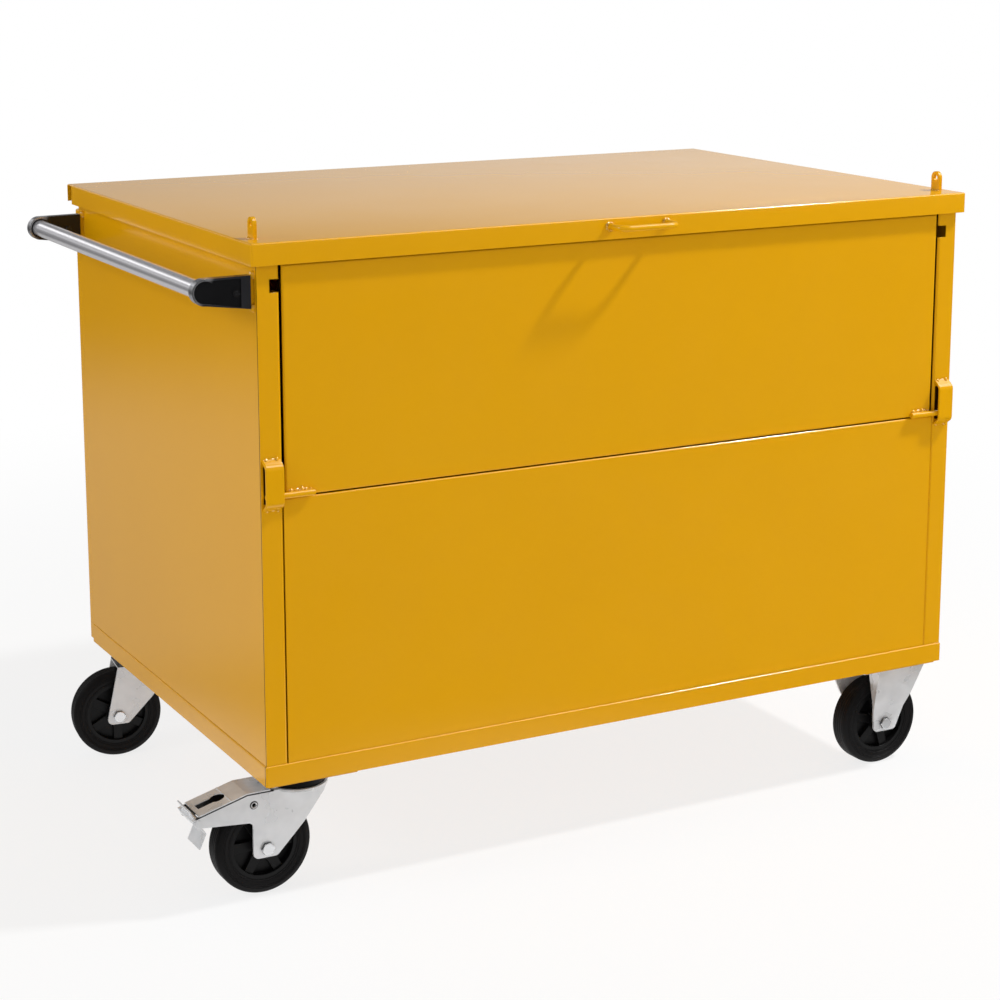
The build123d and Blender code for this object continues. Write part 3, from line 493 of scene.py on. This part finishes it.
def joined(node):
    """Points and triangles of a CAD node with its doubled points made one."""
    mesh = frame["nodes"][node].data
    place = np.empty(3 * len(mesh.vertices), np.float32)
    mesh.vertices.foreach_get("co", place)
    corner = np.empty(len(mesh.loops), np.int32)
    mesh.loops.foreach_get("vertex_index", corner)
    place = np.round(place.reshape(-1, 3).astype(float), 6)
    points, back = np.unique(place, axis=0, return_inverse=True)
    faces = back.reshape(-1)[corner].reshape(-1, 3)
    return points, faces[(faces != np.roll(faces, 1, axis=1)).all(axis=1)]


def sharp_edges(points, faces, limit):
    """Outward edges sharper than a limit, with the breadths of the smooth areas at both sides of each.

    A smooth area is all triangles that meet at less than the limit, found by passing the lowest number on
    until nothing changes. Its breadth is twice its area over the length of its sharp edges."""
    pairs = np.sort(np.stack([faces, np.roll(faces, -1, axis=1)], -1).reshape(-1, 2), axis=1)
    key = pairs[:, 0] * len(points) + pairs[:, 1]
    order = np.argsort(key, kind="stable")
    twice = np.flatnonzero(key[order][1:] == key[order][:-1])
    first, second = order[twice], order[twice + 1]
    a, b = first // 3, second // 3
    corners = points[faces]
    square = np.cross(corners[:, 1] - corners[:, 0], corners[:, 2] - corners[:, 0])
    normal, area, middle = unit(square), np.linalg.norm(square, axis=1) / 2, corners.mean(1)
    lean = np.arccos(np.clip(np.einsum("ij,ij->i", normal[a], normal[b]), -1, 1))
    outward = np.einsum("ij,ij->i", normal[a], middle[b] - middle[a]) < 0
    soft = lean < limit
    label = np.arange(len(faces))
    while True:
        lower = label.copy()
        np.minimum.at(lower, a[soft], label[b[soft]])
        np.minimum.at(lower, b[soft], label[a[soft]])
        lower = lower[lower]
        if (lower == label).all():
            break
        label = lower
    length = np.linalg.norm(points[pairs[first, 0]] - points[pairs[first, 1]], axis=1)
    total = np.bincount(label, area, len(faces))
    rim = sum(np.bincount(label[side[~soft]], length[~soft], len(faces)) for side in (a, b))
    breadth = 2 * total / np.maximum(rim, 1e-9)
    use = ~soft & outward
    return key[first][use], length[use], np.stack([breadth[label[a]], breadth[label[b]]], 1)[use]


def edged(node, width, fold=0.0, segments=3, finish=None, cut=None):
    """A copy of a CAD node with its flats made whole and its edges rounded, folds more than cut edges.

    Edges sharper than 30 degrees are rounded, and one longer than 20 mm between two areas broader than 5 mm is
    a fold. With cut, another finish, the rounded edges show that finish."""
    sharp, fold_length, fold_breadth = 30.0, 0.02, 0.005
    points, faces = joined(node)
    piece = stand(node + "_edged", points.tolist(), faces.tolist(), slot_of[node], body_of[node], [node],
                  sharp, finish)
    key, length, breadth = sharp_edges(points, faces, radians(sharp))
    most = max(width, fold)
    folds = (length > fold_length) & (breadth.min(1) > fold_breadth) & (fold > 0)
    weight = np.where(folds, fold, width) / most
    mesh = piece.data
    ends = np.empty(2 * len(mesh.edges), np.int32)
    mesh.edges.foreach_get("vertices", ends)
    ends = np.sort(ends.reshape(-1, 2), axis=1).astype(np.int64)
    own = ends[:, 0] * len(points) + ends[:, 1]
    order = np.argsort(own)
    value = np.zeros(len(own), np.float32)
    value[order[np.searchsorted(own, key, sorter=order)]] = weight
    mesh.attributes.new("bevel_weight_edge", "FLOAT", "EDGE").data.foreach_set("value", value)
    flats = piece.modifiers.new("Flats", "DECIMATE")
    flats.decimate_type, flats.angle_limit = "DISSOLVE", radians(0.3)
    edges = piece.modifiers.new("Edges", "BEVEL")
    edges.width, edges.segments, edges.limit_method = most, segments, "WEIGHT"
    edges.harden_normals = edges.use_clamp_overlap = True
    if cut:
        mesh.materials.append(finishes[cut])
        edges.material = 1
    return piece


def along_axle(piece, axle, finish):
    """Puts faces that lie along an axle, as a hexagon's flats do, in another finish."""
    steep = 0.4
    mesh = piece.data
    normal = np.empty(3 * len(mesh.polygons), np.float32)
    mesh.polygons.foreach_get("normal", normal)
    lies = np.abs(normal.reshape(-1, 3) @ np.asarray(axle, np.float32)) < steep
    mesh.materials.append(finishes[finish])
    mesh.polygons.foreach_set("material_index", lies.astype(np.int32))


def finished(*nodes):
    """CAD nodes that are shown as they are, in their finish."""
    for node in nodes:
        frame["nodes"][node].data.materials[0] = finishes[slot_of[node]]


def bead(shell, path, sizes, size=1.0, closed=False):
    """Adds a rippled weld bead along a path, its size a multiple of the usual one.

    A path of two points is a straight run, with 12 points to a ripple."""
    path = np.asarray(path, float)
    if len(path) == 2:
        length = np.linalg.norm(path[1] - path[0])
        path = np.linspace(*path, max(12, int(12 * length / sizes.bead_pitch / size)))
    shell.grid(carried(path, size * sizes.bead, 16, closed, ripple=0.5, pitch=size * sizes.bead_pitch,
                       taper=0.0 if closed else 4.0), closed)


# Settings

def colour(name, description, default):
    """A colour that can be set."""
    return FloatVectorProperty(name=name, description=description, subtype="COLOR", default=default,
                               min=0, max=1)


def share(name, description, default):
    """A share from 0 to 1 that can be set."""
    return FloatProperty(name=name, description=description, default=default, min=0, max=1)


def distance(name, description, default):
    """A length that can be set, shown to a micrometre."""
    return FloatProperty(name=name, description=description, unit="LENGTH", default=default, precision=6)


class TrolleyLooks(bpy.types.PropertyGroup):
    """Colours and gloss."""
    paint: colour("Paint", "Yellow of the powder coat", (0.79, 0.385, 0.002))
    paint_shade: colour("Paint shade", "Slightly deeper yellow in patches", (0.765, 0.368, 0.002))
    # painted shade: near-black colour painted in the gaps round the flap, behind the straps and along the corner
    # seams
    gap: colour("Gaps", "Thin dark coat inside the gaps", (0.02, 0.007, 0.001))
    paint_rough: share("Paint roughness", "Lower is glossier", 0.13)
    peel: distance("Orange peel", "Height of the paint's fine waves", 0.000003)
    wave: distance("Sheet waves", "Height of the slow waves in flat sheet", 0.0003)
    zinc: colour("Zinc", "Satin zinc plate", (0.82, 0.828, 0.842))
    zinc_shade: colour("Zinc shade", "Duller patches of the plate", (0.7, 0.708, 0.722))
    zinc_metal: share("Zinc metal", "Share of mirror-like metal", 0.3)
    zinc_rough: share("Zinc roughness", "Lower is glossier", 0.3)
    # painted shade: near-black colour painted under the brake leaf, along its joint with the arms and round the
    # eyelets
    leaf_shade_colour: colour("Grease", "Dark grease under the brake leaf", (0.02, 0.019, 0.019))
    # painted highlight: paler zinc on the rounded castor edges and the eyelets
    bright: colour("Bright zinc", "Rubbed zinc and sheared edges", (0.93, 0.93, 0.94))
    oxide: colour("Black oxide", "Blackened bolts", (0.012, 0.012, 0.013))
    steel: colour("Tube", "Polished tube", (0.9, 0.885, 0.92))
    steel_rough: share("Tube roughness", "Lower is glossier", 0.14)
    plastic: colour("Plastic", "Black wheel centres and seals", (0.0042, 0.004, 0.0042))
    bracket: colour("Brackets", "Black handle brackets", (0.007, 0.007, 0.008))
    # painted reflection: silver colour of the band on the bracket's nose
    sheen: colour("Bracket nose", "Silver sheen of the rubbed nose", (0.5, 0.5, 0.52))
    rubber: colour("Rubber", "Black tyres", (0.005, 0.0045, 0.0047))


class TrolleySizes(bpy.types.PropertyGroup):
    """Fine sizes that the solids leave out."""
    sheet_edge: distance("Sheet edges", "Rounding of the sheet's cut edges", 0.0005)
    sheet_fold: distance("Sheet folds", "Rounding of the sheet's folds", 0.0035)
    post_fold: distance("Post folds", "Rounding of the front posts' folds", 0.005)
    tray_fold: distance("Base folds", "Rounding of the base's folds", 0.0025)
    plate_edge: distance("Plate edges", "Rounding of the castor plates' edges", 0.0014)
    mould_edge: distance("Moulded edges", "Rounding of plastic edges", 0.0017)
    small_edge: distance("Small edges", "Rounding of bolts and small plates", 0.0004)
    bead: distance("Weld bead", "Radius of the weld beads", 0.005)
    bead_pitch: distance("Bead pitch", "Distance from ripple to ripple", 0.0085)
    strap_edge: distance("Strap edges", "Rounding of the flap straps' edges", 0.0014)
    strap_bend: distance("Strap bends", "Radius of the flap straps' bends", 0.009)
    tread_lines: IntProperty(name="Tread lines", description="Fine grooves round the tread", default=5,
                             min=0, max=12)
    tread_line: distance("Tread line depth", "Depth of the grooves", 0.0007)
    axle_head: distance("Axle head", "Axle bolt's head across flats", 0.019)


class TrolleyStudio(bpy.types.PropertyGroup):
    """Camera and light."""
    eye: FloatVectorProperty(name="Camera", description="Place of the camera", subtype="TRANSLATION",
                             default=(-1.8643, -3.5037, 1.5132))
    turn: FloatProperty(name="Turn", description="Camera turned right of straight ahead", subtype="ANGLE",
                        default=radians(28.281))
    tip: FloatProperty(name="Tip", description="Camera tipped down", subtype="ANGLE", default=radians(11.497))
    lens: FloatProperty(name="Lens", description="Focal length in millimetres", default=82.949)
    shift: FloatProperty(name="Shift", description="Upright shift of the frame", default=-0.12)
    key: FloatProperty(name="Key light", description="Watts of the lamp above the right front",
                       default=200.0)
    side: FloatProperty(name="Left light", description="Watts of the soft lamp at the left", default=16.0)
    rim_sky: FloatProperty(name="Sky", description="Level of the light from low all round", default=1.0)
    top_sky: FloatProperty(name="Top sky", description="Level of the light from overhead", default=0.2)


groups = {"trolley_looks": TrolleyLooks, "trolley_sizes": TrolleySizes, "trolley_studio": TrolleyStudio}


# Operators

class TROLLEY_OT_finishes(bpy.types.Operator):
    """Make the finishes of all pieces"""
    bl_idname = "trolley.finishes"
    bl_label = "Finishes"

    def execute(self, context):
        look = context.scene.trolley_looks
        powder_coat(look)
        gloss_coat(look, "weld_paint", 2.4, 0.00008)
        gloss_coat(look, "bar_paint", 1.5, 0.00001)
        zinc_plate(look, "zinc_steel", True)
        zinc_plate(look, "clean_zinc", False)
        bolt_zinc(look, "bolt_zinc", 1.0)
        # painted shade: the flats of bolts and nuts in zinc at 0.16 of its tone
        bolt_zinc(look, "flat_zinc", 0.16)
        bright_zinc(look)
        black_oxide(look)
        polished_steel(look)
        moulded_plastic("black_plastic", look.plastic, 0.42, 0.000012)
        bracket_plastic(look)
        tyre_rubber(look)
        return {"FINISHED"}


class TROLLEY_OT_box(bpy.types.Operator):
    """Round the folded edges of the base and the walls"""
    bl_idname = "trolley.box"
    bl_label = "Base and walls"

    def execute(self, context):
        sizes = context.scene.trolley_sizes
        edged("base_tray", sizes.sheet_edge, sizes.tray_fold)
        for node in ("left_side_panel", "right_side_panel", "back_panel", "lower_front_panel"):
            edged(node, sizes.sheet_edge, sizes.sheet_fold)
        for node in ("front_post_left", "front_post_right"):
            edged(node, sizes.sheet_edge, sizes.post_fold)
        for node in ("castor_rail_left", "castor_rail_right"):
            edged(node, sizes.sheet_edge)
        return {"FINISHED"}


class TROLLEY_OT_lid(bpy.types.Operator):
    """Finish the lid with its bar handle, eye plates and welds"""
    bl_idname = "trolley.lid"
    bl_label = "Lid"

    def execute(self, context):
        sizes = context.scene.trolley_sizes
        edged("lid_panel", sizes.sheet_edge)
        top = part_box("lid_panel")[1].z
        welds = Shell()
        for node in ("lid_lug_left", "lid_lug_right"):
            edged(node, 2 * sizes.sheet_edge, finish="bar_paint")
            low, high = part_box(node)
            for x in (low.x, high.x):
                bead(welds, [(x, low.y - 0.001, top - 0.001), (x, high.y + 0.001, top - 0.001)], sizes, 0.7)
        low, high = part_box("lid_handle")
        r = (high.z - low.z) / 2
        left, right, z = low.x + r, high.x - r, low.z + r
        foot, bar, bend = high.y + 0.0015, low.y + r, 0.016
        path = rounded([(left, foot, z), (left, bar, z), (right, bar, z), (right, foot, z)],
                       [bend, bend], 0.002)
        Shell().grid(carried(path, r, 32)).place("lid_handle_bar", "yellow_paint", "lid", ["lid_handle"],
                                                 finish="bar_paint")
        turn, round_bar = np.linspace(0, 2 * pi, 60, endpoint=False), r + 0.0006
        for x in (left, right):
            ring = [x + round_bar * np.cos(turn), np.full(len(turn), high.y), z + round_bar * np.sin(turn)]
            bead(welds, np.stack(ring, 1), sizes, 0.6, closed=True)
        welds.place("lid_welds", "yellow_paint", "lid", finish="weld_paint")
        return {"FINISHED"}


class TROLLEY_OT_flap(bpy.types.Operator):
    """Finish the flap with its rods, straps and welds"""
    bl_idname = "trolley.flap"
    bl_label = "Flap"

    def execute(self, context):
        sizes = context.scene.trolley_sizes
        thick, inset, ramp = 0.004, 0.0035, 0.009  # strap's sheet, ends inside its solid, slanted ends
        sunk, rod_inset = 0.0015, 0.002  # beads behind a face and short of a rod's ends
        edged("flap_panel", sizes.sheet_edge, sizes.sheet_fold)
        face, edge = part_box("flap_panel")
        on_box, on_flap = Shell(), Shell()
        for side in ("left", "right"):
            edged("flap_rod_" + side, 2 * sizes.sheet_edge, finish="bar_paint")
            low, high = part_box("flap_strap_" + side)
            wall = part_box("front_post_" + side)[0].y
            x, front = (low.x + high.x) / 2, low.y + thick / 2
            foot, head = low.z + inset, high.z - inset
            path = rounded([(x, wall, head), (x, front, head - ramp), (x, front, foot + ramp), (x, wall, foot)],
                           [sizes.strap_bend, sizes.strap_bend], 0.0012)
            Shell().grid(strip(path, high.x - low.x, thick, sizes.strap_edge)).place(
                f"flap_strap_{side}_bent", "yellow_paint", "box", ["flap_strap_" + side], finish="bar_paint")
            for z in (foot, head):
                bead(on_box, [(low.x, wall + sunk, z), (high.x, wall + sunk, z)], sizes)
            low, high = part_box("flap_rod_" + side)
            y, z = face.y + sunk, high.z - 0.0005
            inner, outer = max(low.x, face.x) + rod_inset, min(high.x, edge.x) - rod_inset
            bead(on_flap, [(inner, y, z), (outer, y, z)], sizes)
        on_box.place("strap_welds", "yellow_paint", "box", finish="weld_paint")
        on_flap.place("rod_welds", "yellow_paint", "flap", finish="weld_paint")
        return {"FINISHED"}


class TROLLEY_OT_hinges(bpy.types.Operator):
    """Finish the hinges at the back"""
    bl_idname = "trolley.hinges"
    bl_label = "Hinges"

    def execute(self, context):
        sizes = context.scene.trolley_sizes
        for node in ("hinge_wall_leaves", "hinge_lid_leaves", "hinge_pins"):
            edged(node, sizes.small_edge)
        return {"FINISHED"}


class TROLLEY_OT_push_handle(bpy.types.Operator):
    """Finish the push handle: polished tube, moulded brackets, tabs and welds"""
    bl_idname = "trolley.push_handle"
    bl_label = "Push handle"

    def execute(self, context):
        sizes = context.scene.trolley_sizes
        tube, half = middle("push_handle_tube")
        wall = 0.002
        outer, inner = half.x, half.x - wall
        rings = lathe([inner, outer, outer, inner], [-half.y, -half.y, half.y, half.y], tube, (0, 1, 0), 128)
        Shell().grid(rings, rows_closed=True).place("push_handle_bar", "polished_tube", "box",
                                                    ["push_handle_tube"])
        welds = Shell()
        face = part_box("left_side_panel")[0].x
        for end in ("front", "rear"):
            edged("handle_bracket_" + end, sizes.mould_edge, segments=4)
            edged("handle_tab_" + end, sizes.small_edge)
            low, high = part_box("handle_tab_" + end)
            for y in (low.y, high.y):
                bead(welds, [(face + 0.0015, y, low.z), (face + 0.0015, y, high.z)], sizes, 0.5)
            for z in (low.z, high.z):
                bead(welds, [(face, low.y - 0.005, z), (face, high.y + 0.005, z)], sizes, 1.2)
        edged("handle_bolts", sizes.small_edge)
        welds.place("handle_tab_welds", "yellow_paint", "box", finish="weld_paint")
        return {"FINISHED"}


class TROLLEY_OT_castors(bpy.types.Operator):
    """Round the edges of the castor plates and forks, and make the axle bolts with their nuts"""
    bl_idname = "trolley.castors"
    bl_label = "Castors"

    def execute(self, context):
        sizes = context.scene.trolley_sizes
        for node in ("swivel_fork_front", "swivel_fork_rear", "fixed_bracket_front", "fixed_bracket_rear",
                     "swivel_plate_front", "swivel_plate_rear"):
            # the rounded edges take the paler bright_zinc, a painted highlight
            edged(node, sizes.plate_edge, cut="bright_zinc")
        edged("castor_plate_bolts", 2 * sizes.small_edge)
        for node in ("swivel_seal_front", "swivel_seal_rear", "kingpin_front", "kingpin_rear"):
            edged(node, sizes.small_edge)
        finished("swivel_balls", "axle_sleeve_left_front", "axle_sleeve_left_rear", "axle_sleeves_right")
        self.bolts(sizes, "left_front", ["left_front"])
        self.bolts(sizes, "left_rear", ["left_rear"])
        self.bolts(sizes, "right", ["right_front", "right_rear"])
        return {"FINISHED"}

    def bolts(self, sizes, name, places):
        """Axle bolts and nuts of the named wheels: hexagons with turned ends and round shanks."""
        many = "s" if len(places) > 1 else ""
        bolt_node, nut_node = f"axle_bolt{many}_{name}", f"axle_nut{many}_{name}"
        bolts, nuts = Shell(), Shell()
        hub = joint["wheel_left_front_spin"]["pos_m"][1]
        head, end = [side.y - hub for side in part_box("axle_bolt_left_front")]
        nut = [side.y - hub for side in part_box("axle_nut_left_front")]
        shank, head_high, point = 0.006, 0.006, 0.001  # radius, height, turned tip
        turned = np.linspace(0, 0.0014, 8)
        for place in places:
            spin = joint[f"wheel_{place}_spin"]
            at, axle = spin["pos_m"], spin["axis"]
            rise = np.concatenate([head + turned, [head + head_high]])
            bolts.grid(lathe(hexagon(sizes.axle_head, rise, [head]), rise, at, axle))
            bolts.grid(lathe([shank, shank, shank, shank - point],
                             [head + head_high - 0.001, 0.0, end - point, end], at, axle))
            rise = np.concatenate([nut[0] + turned, nut[1] - turned[::-1]])
            block = hexagon(sizes.axle_head, rise, nut)
            bore = np.full((2, block.shape[1]), shank + 0.0004)
            rings = lathe(np.concatenate([block, bore]), np.concatenate([rise, nut[::-1]]), at, axle)
            nuts.grid(rings, rows_closed=True)
        for shell, node in ((bolts, bolt_node), (nuts, nut_node)):
            piece = shell.place(node + "_turned", "zinc_steel", body_of[node], [node], 20.0, "bolt_zinc")
            # painted shade on the flats
            along_axle(piece, axle, "flat_zinc")


class TROLLEY_OT_brake(bpy.types.Operator):
    """Finish the brake of the front swivel castor: leaf, lever, pin and rolled eyelets"""
    bl_idname = "trolley.brake"
    bl_label = "Brake"

    def execute(self, context):
        sizes = context.scene.trolley_sizes
        edged("brake_leaf", sizes.small_edge, 2 * sizes.small_edge)
        edged("brake_lever", sizes.small_edge, finish="clean_zinc")
        edged("lever_pin", sizes.small_edge)
        eye, half = middle("brake_eyelets")
        hole, wall = half.z - 0.0025, 0.0009
        turn = np.linspace(0, pi, 13)
        eyelets = Shell()
        for side in (-1, 1):
            lip = side * half.y
            leg = lip - side * 0.0015
            inner = leg - side * 0.006
            ring = (hole + half.z) / 2 - (half.z - hole) / 2 * np.cos(turn)
            rise = leg + (lip - leg) * np.sin(turn)
            rings = lathe(np.concatenate([[hole], ring, [hole + wall, hole + wall]]),
                          np.concatenate([[inner], rise, [leg, inner]]), eye, (0, 1, 0), 64)
            eyelets.grid(rings, rows_closed=True)
        eyelets.place("brake_eyelets_rolled", "zinc_steel", body_of["brake_eyelets"], ["brake_eyelets"],
                      finish="bright_zinc")
        return {"FINISHED"}


def tyre_profile(sizes):
    """Outline of the tyre's section, as radius and distance along the axle, with grooves sunk along its normal.

    Its corners go from the bead over flank and shoulder to the tread and back. Each groove is a bell curve of
    the distance from its place: depth * exp(-(d / width) ** 2)."""
    side = [(0.057, 0.0175), (0.0615, 0.0182), (0.0705, 0.02), (0.08, 0.0165)]
    corners = [(r, -y) for r, y in side] + side[::-1]
    bends = [0.003, 0.006, 0.0065]
    outline = rounded(corners + corners[:1], [*bends, *bends[::-1], 0.0], 0.0004)[:-1]
    ahead = unit(np.roll(outline, -1, axis=0) - np.roll(outline, 1, axis=0))
    inward = np.stack([-ahead[:, 1], ahead[:, 0]], 1)
    r, y = outline.T
    tread = np.linspace(-0.0125, 0.0125, sizes.tread_lines)[:, None]
    sunk = sizes.tread_line * np.exp(-((y - tread) / 0.0007) ** 2).sum(0) * (r > 0.0775)
    rings = np.array([0.0598, 0.0665, 0.0685, 0.0705])[:, None]
    sunk = sunk + 0.0006 * np.exp(-((r - rings) / 0.0005) ** 2).sum(0) * (np.abs(y) > 0.0165)
    return outline + inward * sunk[:, None]


class TROLLEY_OT_wheels(bpy.types.Operator):
    """Make the rubber tyres and finish the wheel centres"""
    bl_idname = "trolley.wheels"
    bl_label = "Wheels"

    def execute(self, context):
        sizes = context.scene.trolley_sizes
        profile = tyre_profile(sizes)
        for place in wheels:
            spin = joint[f"wheel_{place}_spin"]
            edged("wheel_rim_" + place, sizes.mould_edge * 0.5)
            Shell().grid(lathe(*profile.T, spin["pos_m"], spin["axis"], 112), rows_closed=True).place(
                f"tyre_{place}_rubber", "tyre_rubber", f"wheel_{place}", ["tyre_" + place])
        return {"FINISHED"}


class TROLLEY_OT_studio(bpy.types.Operator):
    """Set up the floor, the light and the camera"""
    bl_idname = "trolley.studio"
    bl_label = "Studio"

    def execute(self, context):
        scene, studio = context.scene, context.scene.trolley_studio
        scene.view_settings.view_transform = "Standard"
        self.sky(scene, studio)
        self.floor(scene)
        self.lamp(scene, "key_light", studio.key, place=(3.01, -1.5, 4.54), target=(0.2, -0.2, 0.8), size=0.36)
        self.lamp(scene, "left_light", studio.side, place=(-3.3, -0.1, 2.25), target=(-0.6, 0.0, 0.8), size=0.8)
        camera = bpy.data.cameras.new("camera")
        camera.lens, camera.sensor_width, camera.shift_y = studio.lens, 36.0, studio.shift
        scene.camera = bpy.data.objects.new("camera", camera)
        scene.camera.location = studio.eye
        scene.camera.rotation_euler = (radians(90) - studio.tip, 0.0, -studio.turn)
        scene.collection.objects.link(scene.camera)
        return {"FINISHED"}

    def sky(self, scene, studio):
        """White where it is seen; a low ring of light, stronger at the left, with a dim top.

        Reflections see a dim room with a pale wall behind at the right, a grey one at the left, a bright strip
        above that and a soft box round the key lamp."""
        scene.world = bpy.data.worlds.new("studio")
        air = Nodes(scene.world)
        x, y, z = air.parts(air.add("ShaderNodeTexCoord", output="Generated"))
        camera, glossy, clear = air.rays()
        light = (studio.rim_sky + (studio.top_sky - studio.rim_sky) * z.between(0.2, 0.8)) * (1 - 0.3 * x)
        back = y.between(0.2, 0.7)
        left = 1 - x.between(-0.05, 0.03)
        room = (0.13 + 0.55 * back * (1 - z.between(0.16, 0.3)) * x.between(-0.1, 0.6)
                + back * left * (0.3 * z.near(0.13, 0.07, 0.04) + 1.5 * z.near(0.295, 0.03, 0.02))
                + 5.0 * (0.577 * x - 0.268 * y + 0.771 * z).between(0.92, 0.965))
        level = camera + clear + glossy * room + (1 - camera - clear - glossy) * light
        air.add("ShaderNodeOutputWorld", sockets={"Surface": air.add(
            "ShaderNodeBackground", sockets={"Color": (1, 1, 1, 1), "Strength": level})})

    def floor(self, scene):
        """Round pale floor: rings of points, radius growing as the square of the row.

        It is seen white further out, and reflections see it bright near the trolley and dim beyond, less so
        behind."""
        rows, columns, reach, level = 24, 96, 14.0, -0.0002
        r = reach * np.linspace(0.02, 1, rows)[:, None] ** 2
        turn = np.linspace(0, 2 * pi, columns, endpoint=False)[None]
        rings = np.stack([r * np.cos(turn), r * np.sin(turn), np.full((rows, columns), level)], -1)
        index = np.arange(rows * columns).reshape(rows, columns)
        index = np.concatenate([index, index[:, :1]], axis=1)
        quads = np.stack([index[:-1, :-1], index[1:, :-1], index[1:, 1:], index[:-1, 1:]], -1).reshape(-1, 4)
        mesh = bpy.data.meshes.new("floor")
        mesh.from_pydata(rings.reshape(-1, 3).tolist(), [], quads.tolist() + [index[0, :-1].tolist()])
        pale = Nodes(bpy.data.materials.new("pale_floor"))
        place = pale.add("ShaderNodeTexCoord", output="Object")
        out = pale.add("ShaderNodeVectorMath", {"operation": "LENGTH"}, {0: place}, 1)
        y = pale.parts(place)[1]
        camera, glossy, clear = pale.rays()
        white = camera * (0.8 + 0.2 * out.between(1.0, 3.2)) + glossy + clear
        near = 1 - out.between(0.6, 1.15)
        behind = y.between(0.0, 1.0) * (1 - out.between(3.0, 5.5))
        far = 1 - glossy * (1 - (0.12 + 0.88 * near + 0.33 * behind).between(0, 1))
        both = pale.add("ShaderNodeMixShader", sockets={
            0: white,
            1: pale.add("ShaderNodeBsdfDiffuse", sockets={"Color": (0.9, 0.9, 0.9, 1)}),
            2: pale.add("ShaderNodeEmission", sockets={"Color": (1, 1, 1, 1), "Strength": far})})
        pale.add("ShaderNodeOutputMaterial", sockets={"Surface": both})
        mesh.materials.append(pale.owner)
        floor = bpy.data.objects.new("floor", mesh)
        scene.collection.objects.link(floor)

    def lamp(self, scene, name, power, place, target, size):
        """Square soft lamp that faces a point."""
        light = bpy.data.lights.new(name, "AREA")
        light.energy, light.size = power, size
        lamp = bpy.data.objects.new(name, light)
        lamp.location = place
        lamp.rotation_euler = (Vector(target) - Vector(place)).to_track_quat("-Z", "Y").to_euler()
        scene.collection.objects.link(lamp)


operators = (TROLLEY_OT_finishes, TROLLEY_OT_box, TROLLEY_OT_lid, TROLLEY_OT_flap, TROLLEY_OT_hinges,
             TROLLEY_OT_push_handle, TROLLEY_OT_castors, TROLLEY_OT_brake, TROLLEY_OT_wheels, TROLLEY_OT_studio)


class TROLLEY_PT_sidebar(bpy.types.Panel):
    """Lists the trolley's operators and settings"""
    bl_idname = "TROLLEY_PT_sidebar"
    bl_label = "Trolley"
    bl_space_type = "VIEW_3D"
    bl_region_type = "UI"
    bl_category = "Trolley"

    def draw(self, context):
        for group in groups:
            settings = getattr(context.scene, group)
            box = self.layout.box()
            for name in settings.bl_rna.properties.keys():
                if name not in ("rna_type", "name"):
                    box.prop(settings, name)
        for operator in operators:
            self.layout.operator(operator.bl_idname)


def register():
    for kind in (*groups.values(), *operators, TROLLEY_PT_sidebar):
        bpy.utils.register_class(kind)
    for name, kind in groups.items():
        setattr(bpy.types.Scene, name, PointerProperty(type=kind))


def unregister():
    for name in groups:
        delattr(bpy.types.Scene, name)
    for kind in (TROLLEY_PT_sidebar, *reversed(operators), *groups.values()):
        bpy.utils.unregister_class(kind)


def main():
    """Registers and runs every operator in order."""
    register()
    for operator in operators:
        space, name = operator.bl_idname.split(".")
        getattr(getattr(bpy.ops, space), name)()


if __name__ == "__main__":
    main()
